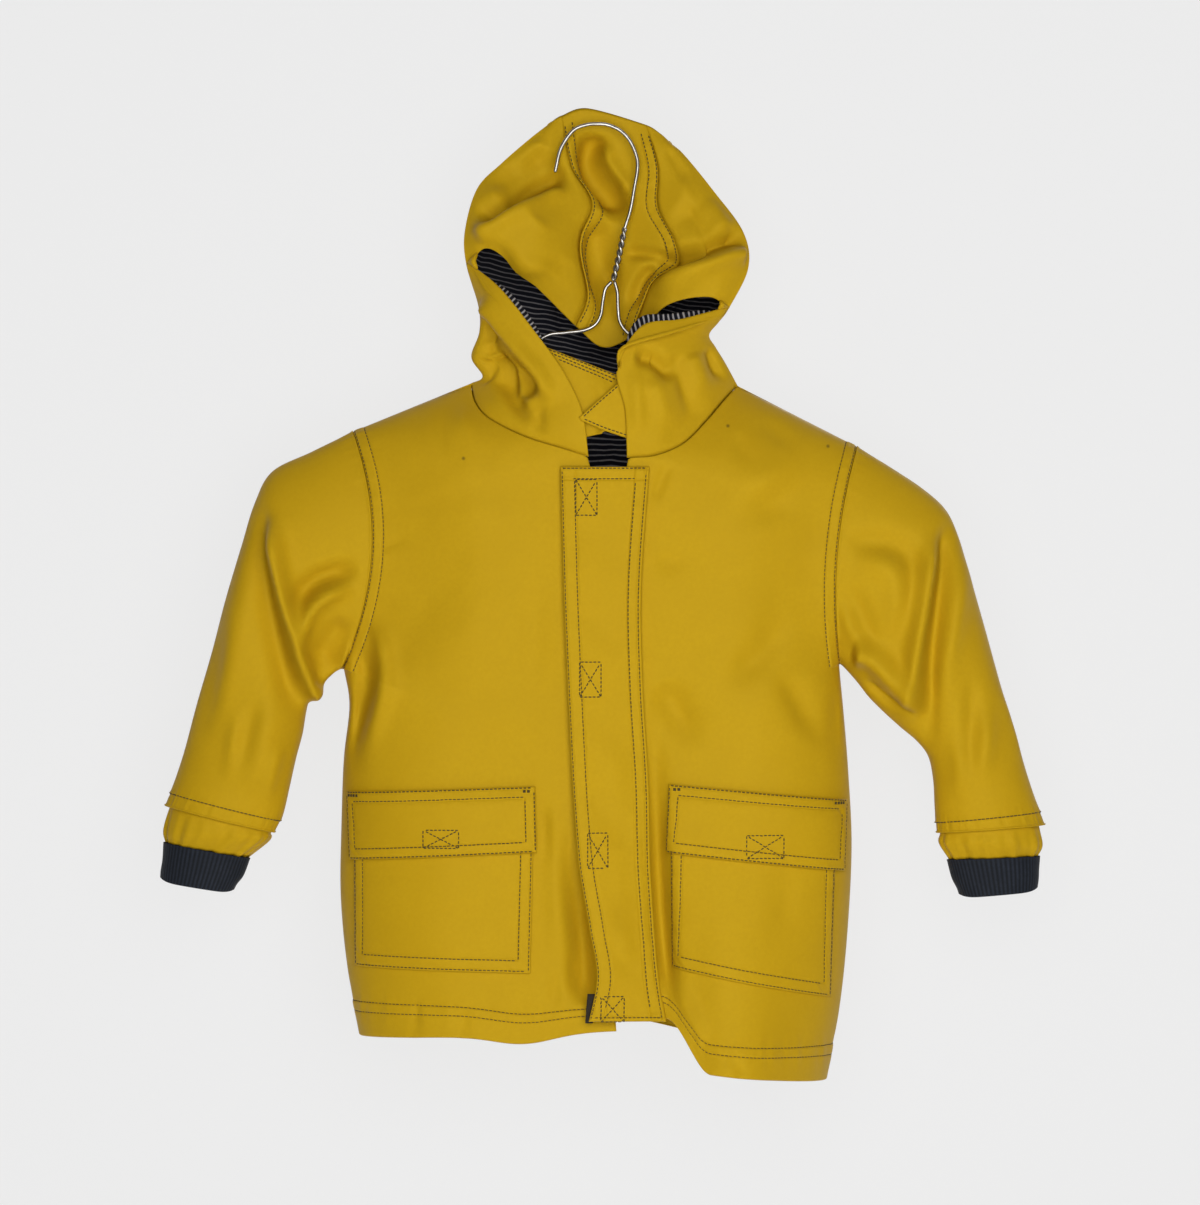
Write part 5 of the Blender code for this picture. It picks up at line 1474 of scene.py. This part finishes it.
edges = np.array(THROAT_BAND, float)
at = np.linspace(0, 3, 60)
left, right = through(edges[:, 0], at), through(edges[:, 1], at)
lie = np.linspace(0, 1, 70)[None, :, None]
grid = left[:, None] + (right - left)[:, None] * lie
grid[..., 1] -= 1.6 * np.sin(math.pi * lie[..., 0]) + 0.5 + 0.6 * np.sin(5 * lie[..., 0] + 1.1 * at[:, None])
grid[..., 1] -= 2.0 * bell(lie[..., 0] - 0.62, 0.14) * smooth(at / 1.2)[:, None]
band, grid, normal = plate("throat_band", grid, TRIM, coated)
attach(band, "root")
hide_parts("throat_band")
lines = [line for near in THROAT_ROWS for line in inset(grid, normal, near, "c")]
sewn = stitching("throat_stitches", lines)

edges = np.array(CHIN_TAB, float)
at = np.linspace(0, 3, 60)
up, low = through(edges[:, 0], at), through(edges[:, 1], at)
lie = np.linspace(0, 1, 50)[None, :, None]
grid = low[:, None] + (up - low)[:, None] * lie
grid[..., 1] -= 0.9 * np.sin(math.pi * lie[..., 0]) * smooth(at / 0.8)[:, None] + 0.8
tab, grid, normal = plate("chin_tab", grid, TRIM, coated)
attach(tab, "root")
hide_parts("chin_tab")
sewn = stitching("tab_stitches", inset(grid, normal, TAB_ROW, "ab"))


# ==== Storm flap: a double layer sewn on the left front, free on the right one ====
# It covers the front opening. Each edge is stitched twice, and four boxed crosses presumably hold
# hook-and-loop behind it; a piece of the dark tape shows at the bottom of the free edge.
STORM_FLAP = [  # z, free edge x, sewn edge x, how far the free edge stands off
    (-555, -5, 42, 4.0),
    (-528, 0, 38, 6.0),
    (-500, -4.3, 35.5, 7.0),
    (-460, -11, 33, 6.5),
    (-410, -15, 32, 4.0),
    (-350, -18, 28.5, 3.0),
    (-290, -20.5, 27.5, 2.0),
    (-214, -22.5, 32.5, 1.0),
]
STORM_TOP, STORM_THICK, STORM_DIP = -216.0, 1.8, 2.5
FREE_ROWS, SEWN_ROWS, TOP_ROWS, LOW_ROW = (1.4, 9.0), (2.4, 9.0), (1.3, 8.0), 3.0  # rows of stitches
STORM_FOLDS = [
    (1.0, 9.0, 0.0, 0.3, 0.3, [(-18, -262), (0, -276), (18, -300)]),
    (-1.0, 8.0, 0.0, 0.3, 0.3, [(-16, -296), (2, -312), (20, -330)]),
    (1.2, 9.0, 0.0, 0.3, 0.3, [(-14, -372), (4, -392), (20, -420)]),
    (-1.4, 9.0, 0.0, 0.3, 0.3, [(-12, -408), (6, -428), (22, -452)]),
    (1.0, 7.0, 0.0, 0.3, 0.3, [(0, -478), (10, -500), (20, -522)]),
    (-1.2, 6.0, 0.0, 0.3, 0.3, [(4, -498), (14, -516), (28, -530)]),
]
CROSSES = (
    (-13, 0, -244, -222), (-10.6, 2.6, -356, -334.5), (-5.6, 6.8, -461, -439.5), (2.4, 16.6, -555, -539.5)
)

table = np.array(STORM_FLAP, float)
run = -spacing(341.0, [*TOP_ROWS, 341.0 - LOW_ROW], 2.8, 0.6) + table[-1, 0]
run = run[::-1]
at = np.interp(run, table[:, 0], np.arange(len(table)))
_, free, sewn_x, stand = through(table, at).T
width = (sewn_x - free)[:, None]
near = spacing(11.0, [0.0, *FREE_ROWS], 1.0, 0.6)
middle = np.linspace(0, 1, 22)[1:-1]
rest = np.broadcast_to(11.0 + (width - 22.0) * middle[None], (len(run), 20))
away = np.concatenate([np.broadcast_to(near, (len(run), len(near))), rest, width - near[::-1]], 1)
lie = away / width
x = free[:, None] + away
z = np.broadcast_to(run[:, None], x.shape)
under = np.minimum(z, STORM_TOP)
ground = np.minimum(front_depth("right", x, under), front_depth("left", x, under))
steady = np.array([np.convolve(np.pad(line, 9, "edge"), np.ones(19) / 19, "valid") for line in ground.T]).T
ground = np.minimum(ground, steady)
y = ground - 0.9 - STORM_THICK - stand[:, None] * smooth(1 - lie) - 0.5
y = y + STORM_DIP * smooth((lie - 0.5) / 0.5) * smooth((-330 - z) / 90) * smooth((z + 556) / 40)
grid = np.stack([x, y - strokes(x, z, STORM_FOLDS) * smooth(lie / 0.3) * smooth((1 - lie) / 0.3), z], -1)


def flap_grooves(left, right, low, high):
    """Rows of stitches sink in; the strip between the two rows of the sewn edge stands up."""
    free = bell(left - FREE_ROWS[0], 0.6) + bell(left - FREE_ROWS[1], 0.6)
    up = -0.45 * (free + 1.6 * bell(right - SEWN_ROWS[0], 0.6) + bell(right - SEWN_ROWS[1], 0.6))
    top = bell(high - TOP_ROWS[0], 0.6) + bell(high - TOP_ROWS[1], 0.6)
    up = up - 0.45 * (top + bell(low - LOW_ROW, 0.6))
    up = up + 0.6 * smooth((9.6 - right) / 1.0)
    return up + puckers(low, left - 5, 61, 0.25, 8.0) + puckers(low, right - 5, 63, 0.25, 8.0)


flap_piece, face, normal = plate("storm_flap", grid, STORM_THICK, coated, flap_grooves)
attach(flap_piece, "root")
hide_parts("storm_flap")
lines = inset(face, normal, FREE_ROWS[0], "ad") + inset(face, normal, FREE_ROWS[1], "ab")
lines += inset(face, normal, TOP_ROWS[1], "d")
lines += inset(face, normal, LOW_ROW, "c") + inset(face, normal, SEWN_ROWS[0], "b")
for box in CROSSES:
    lines += crossed(face, normal, *box)
sewn = stitching("flap_stitches", lines)

TAPE_BLACK = (0.022, 0.016, 0.008)
tape, nodes, links, surface = shader("fastener_tape", TAPE_BLACK, 0.95)
place = nodes.new("ShaderNodeTexCoord").outputs["Object"]
fuzz = use(tape, grained, [("Place", place), ("Pebble", 1400.0), ("Ripple", 700.0)])
bumped(tape, fuzz.outputs["Height"], 0.8, 0.5)
TAPE = [(-556, -7.2, -2.5), (-538, -5.8, -0.5)]  # z, left x and right x of its low and high end
up = np.linspace(0, 1, 12)[:, None]
lie = np.linspace(0, 1, 8)[None]
z, left, right = (low + (high - low) * up for low, high in zip(*TAPE))
z = z + 0 * lie
x = left * (1 - lie) + right * lie
y = np.interp(z, run, grid[:, 0, 1]) + STORM_THICK + 1.0
tape_piece, _, _ = plate("fastener_tape", np.stack([x, y, z], -1), 0.9, tape)
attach(tape_piece, "root")
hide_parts("flap_fastener_tape")


# ==== Pockets: two patch pockets with flaps that have no buttons ====
# Each is one layer with turned edges, stitched twice; the flap is two layers, sewn along its top and
# presumably held by hook-and-loop.
POCKET = {
    "right": [(-150.5, -523), (-41, -526), (-39, -440), (-151, -442)],
    "left": [(46, -522), (145, -542), (148, -450), (45, -438)],
}
POCKET_FLAP = {
    "right": [(-154, -457), (-37, -451.5), (-38, -411), (-156, -415)],
    "left": [(42, -451.5), (154, -464), (156, -420), (44, -409.5)],
}
BAR_TACKS = {"right": [(-154.8, -417.0), (-46.0, -413.5)], "left": [(46.5, -412.3), (147.0, -421.5)]}
TACK_LONG, TACK_DROPS = 7.0, (0.0, 0.5, 1.0)
POCKET_ROWS, FLAP_ROWS = (1.4, 8.0), (1.2, 7.0)  # rows of stitches, in from the edge
POCKET_GAP, POCKET_THICK, FLAP_GAP, FLAP_THICK = 1.9, 1.1, 4.6, 1.8
FLAP_CROSS = {"right": (-107, -85, -449, -438), "left": (92, 115, -455, -441)}


def laid(side, corners, gap, rows, columns):
    """A grid between four corners (low side, low centre, high centre, high side) over a front."""
    low_a, low_b, high_b, high_a = (np.array(corner, float) for corner in corners)
    u, v = columns[None, :, None], rows[:, None, None]
    flat = (low_a * (1 - u) + low_b * u) * (1 - v) + (high_a * (1 - u) + high_b * u) * v
    x, z = flat[..., 0], flat[..., 1]
    return np.stack([x, front_depth(side, x, z) - gap, z], -1)


def shares(length, marks, coarse):
    """Spacing with marks from both ends, as shares of the length."""
    return spacing(length, [0, length, *marks, *(length - m for m in marks)], coarse, 0.6) / length


def patch_grooves(near, far, top):
    """Two rows of stitches inside the sides and the low edge, and above if the top is sewn too."""

    def grooves(left, right, low, high):
        """The lift at these distances from the four sides."""
        edges = [left, right, low] + ([high] if top else [])
        closest = np.minimum.reduce(edges)
        up = -0.45 * (bell(closest - near, 0.6) + bell(closest - far, 0.6))
        up = up + 0.35 * smooth((far + 0.6 - closest) / 1.2)
        return up + puckers(left + low, closest - 4, 67, 0.16, 6.0)

    return grooves


for side in ("right", "left"):
    rows, columns = shares(86, POCKET_ROWS, 2.2), shares(106, POCKET_ROWS, 2.4)
    grid = laid(side, POCKET[side], POCKET_GAP, rows, columns)
    puff = np.sin(math.pi * columns)[None, :] ** 0.6 * smooth(rows / 0.2)[:, None]
    grid[..., 1] -= 0.9 * puff
    pocket, grid, normal = plate(
        "pocket_" + side, grid, POCKET_THICK, coated, patch_grooves(*POCKET_ROWS, False)
    )
    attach(pocket, "root")
    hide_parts("pocket_" + side)
    lines = [line for near in POCKET_ROWS for line in inset(grid, normal, near, "abc")]
    sewn = stitching("pocket_stitches_" + side, lines)
    rows, columns = shares(43, FLAP_ROWS, 2.0), shares(116, FLAP_ROWS, 2.4)
    grid = laid(side, POCKET_FLAP[side], FLAP_GAP, rows, columns)
    grid[..., 1] -= 1.2 * smooth(1 - rows)[:, None] - 1.4 * smooth((rows - 0.72) / 0.28)[:, None]
    flap_part, grid, normal = plate(
        "pocket_flap_" + side, grid, FLAP_THICK, coated, patch_grooves(*FLAP_ROWS, True)
    )
    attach(flap_part, "root")
    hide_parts("pocket_flap_" + side)
    lines = [line for near in FLAP_ROWS for line in inset(grid, normal, near, "abcd")]
    lines += crossed(grid, normal, *FLAP_CROSS[side])
    for x, z in BAR_TACKS[side]:
        lines += [traced(grid, normal, (x, z - drop), (x + TACK_LONG, z - drop)) for drop in TACK_DROPS]
    sewn = stitching("pocket_flap_stitches_" + side, lines)


# ==== Wire hanger: bright galvanised steel wire, bent and twisted ====
# A hook, a neck where the wire's two ends are wound round each other, two shoulders and a bar below.
WIRE = 2.25
HOOK = [
    (-26, -28), (-22.5, -14), (-15, -3), (-7, 0.6), (0, 1.3), (7, 0.6), (15, -3.2), (21, -10), (25, -20),
    (25.2, -28), (23.5, -38), (21, -52), (17.5, -63.5),
]
TWIST = [(17.2, -64.5), (14, -80), (10.4, -96)]
TURNS = 3.2
LEG = {
    "right": [
        (8.6, -97.8), (5.2, -102), (3.6, -110), (2.4, -118), (-1, -124), (-8, -127.6), (-20, -129.2),
        (-30, -130.5), (-39, -136), (-55, -148), (-70, -160),
    ],
    "left": [
        (11.2, -97.8), (12.8, -104), (13.2, -114), (14.2, -122), (18, -128), (24, -132.5), (40, -141),
        (60, -151.5), (78, -162),
    ],
}
WIRE_UNDER, WIRE_TIP_REACH, WIRE_BEND, WIRE_TURN = 3.6, 0.93, 5.0, 2.45
STEEL_PALE, STEEL_DARK = (0.46, 0.445, 0.42, 1), (0.27, 0.255, 0.235, 1)

steel, nodes, links, surface = shader("hanger_wire", (0.62, 0.60, 0.57), 0.32)
surface.inputs["Metallic"].default_value = 1.0
place = nodes.new("ShaderNodeTexCoord").outputs["Object"]
shades = [("Colour", STEEL_PALE), ("Shade", STEEL_DARK)]
cloud = use(steel, clouded, [("Place", place), *shades, ("Size", 220.0)])
links.new(cloud.outputs["Colour"], surface.inputs["Base Color"])
scratched = use(steel, grained, [("Place", place), ("Pebble", 900.0), ("Ripple", 300.0)])
bumped(steel, scratched.outputs["Height"], 0.25, 0.2)


def wire(name, path, radius, sides=16):
    """A round wire along a path in space, with domed ends."""
    path = np.asarray(path, float)
    tangent = unit(np.gradient(path, axis=0))
    side_way = unit(np.cross(tangent, np.array((0, 1.0, 0.001))))
    other = np.cross(tangent, side_way)
    turn = np.linspace(0, 2 * math.pi, sides + 1)
    circle = side_way[:, None] * np.cos(turn)[None, :, None] + other[:, None] * np.sin(turn)[None, :, None]
    body = path[:, None] + circle * radius
    dome = np.linspace(0, math.pi / 2, 5)[1:]
    start = [
        path[0] - tangent[0] * radius * math.sin(a) + circle[0] * radius * math.cos(a) for a in dome[::-1]
    ]
    end = [path[-1] + tangent[-1] * radius * math.sin(a) + circle[-1] * radius * math.cos(a) for a in dome]
    piece = grid_mesh(name, [(np.concatenate([np.stack(start), body, np.stack(end)]), True)], steel)
    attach(piece, "root")
    return piece


def in_plane(points, steps):
    """The smooth curve through points in x and z, at y = 0."""
    fine = through(points, np.linspace(0, len(points) - 1, steps))
    return np.stack([fine[:, 0], 0 * fine[:, 0], fine[:, 1]], -1)


hook = wire("hook", in_plane(HOOK, 120), WIRE / 2)
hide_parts("hanger_hook")

core = in_plane(TWIST, 120)
tangent = unit(np.gradient(core, axis=0))
side_way = np.cross(tangent, (0, 1.0, 0))
angle = 2 * math.pi * TURNS * np.linspace(0, 1, 120)[:, None]
radius = (WIRE / 2) * (0.93 - 0.25 * bell(np.linspace(0, 1, 120), 0.12))[:, None]
for name, shift in (("twist_a", 0.0), ("twist_b", math.pi)):
    round_way = np.cos(angle + shift) * side_way + np.sin(angle + shift) * np.array((0, 1.0, 0))
    spiral = core + radius * round_way
    strand = wire(name, spiral, WIRE / 2 * 0.92, 12)
    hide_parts("hanger_twist")

ends = {}
for side in ("right", "left"):
    sign = -1 if side == "right" else 1
    top = np.array(
        [np.array(FRONT_NECK[side][-1])[[0, 2]], *(np.array(s[:2]) for s in SLEEVE[side][:3])], float
    )
    run = unit(np.gradient(top, axis=0))
    under = top + np.stack([sign * run[:, 1], -sign * run[:, 0]], -1) * WIRE_UNDER
    tip = under[-2] + (under[-1] - under[-2]) * WIRE_TIP_REACH
    way = unit(under[-1] - under[-2])
    down = np.array((sign * way[1], -sign * way[0]))
    centre = tip + down * WIRE_BEND
    bend = [
        centre + (way * math.sin(a) - down * math.cos(a)) * WIRE_BEND for a in np.linspace(0, WIRE_TURN, 14)
    ]
    line = through([*LEG[side], *under[:-1]], np.linspace(0, len(LEG[side]) + 2, 110))
    path = np.concatenate([line, bend])
    leg = wire("leg_" + side, np.stack([path[:, 0], 0 * path[:, 0], path[:, 1]], -1), WIRE / 2, 12)
    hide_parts("hanger_shoulder_" + side)
    ends[side] = path[-1]
bar = ends["right"] + (ends["left"] - ends["right"]) * np.linspace(0, 1, 12)[:, None]
bar = wire("bar", np.stack([bar[:, 0], 0 * bar[:, 0], bar[:, 1]], -1), WIRE / 2, 12)
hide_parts("hanger_bar")
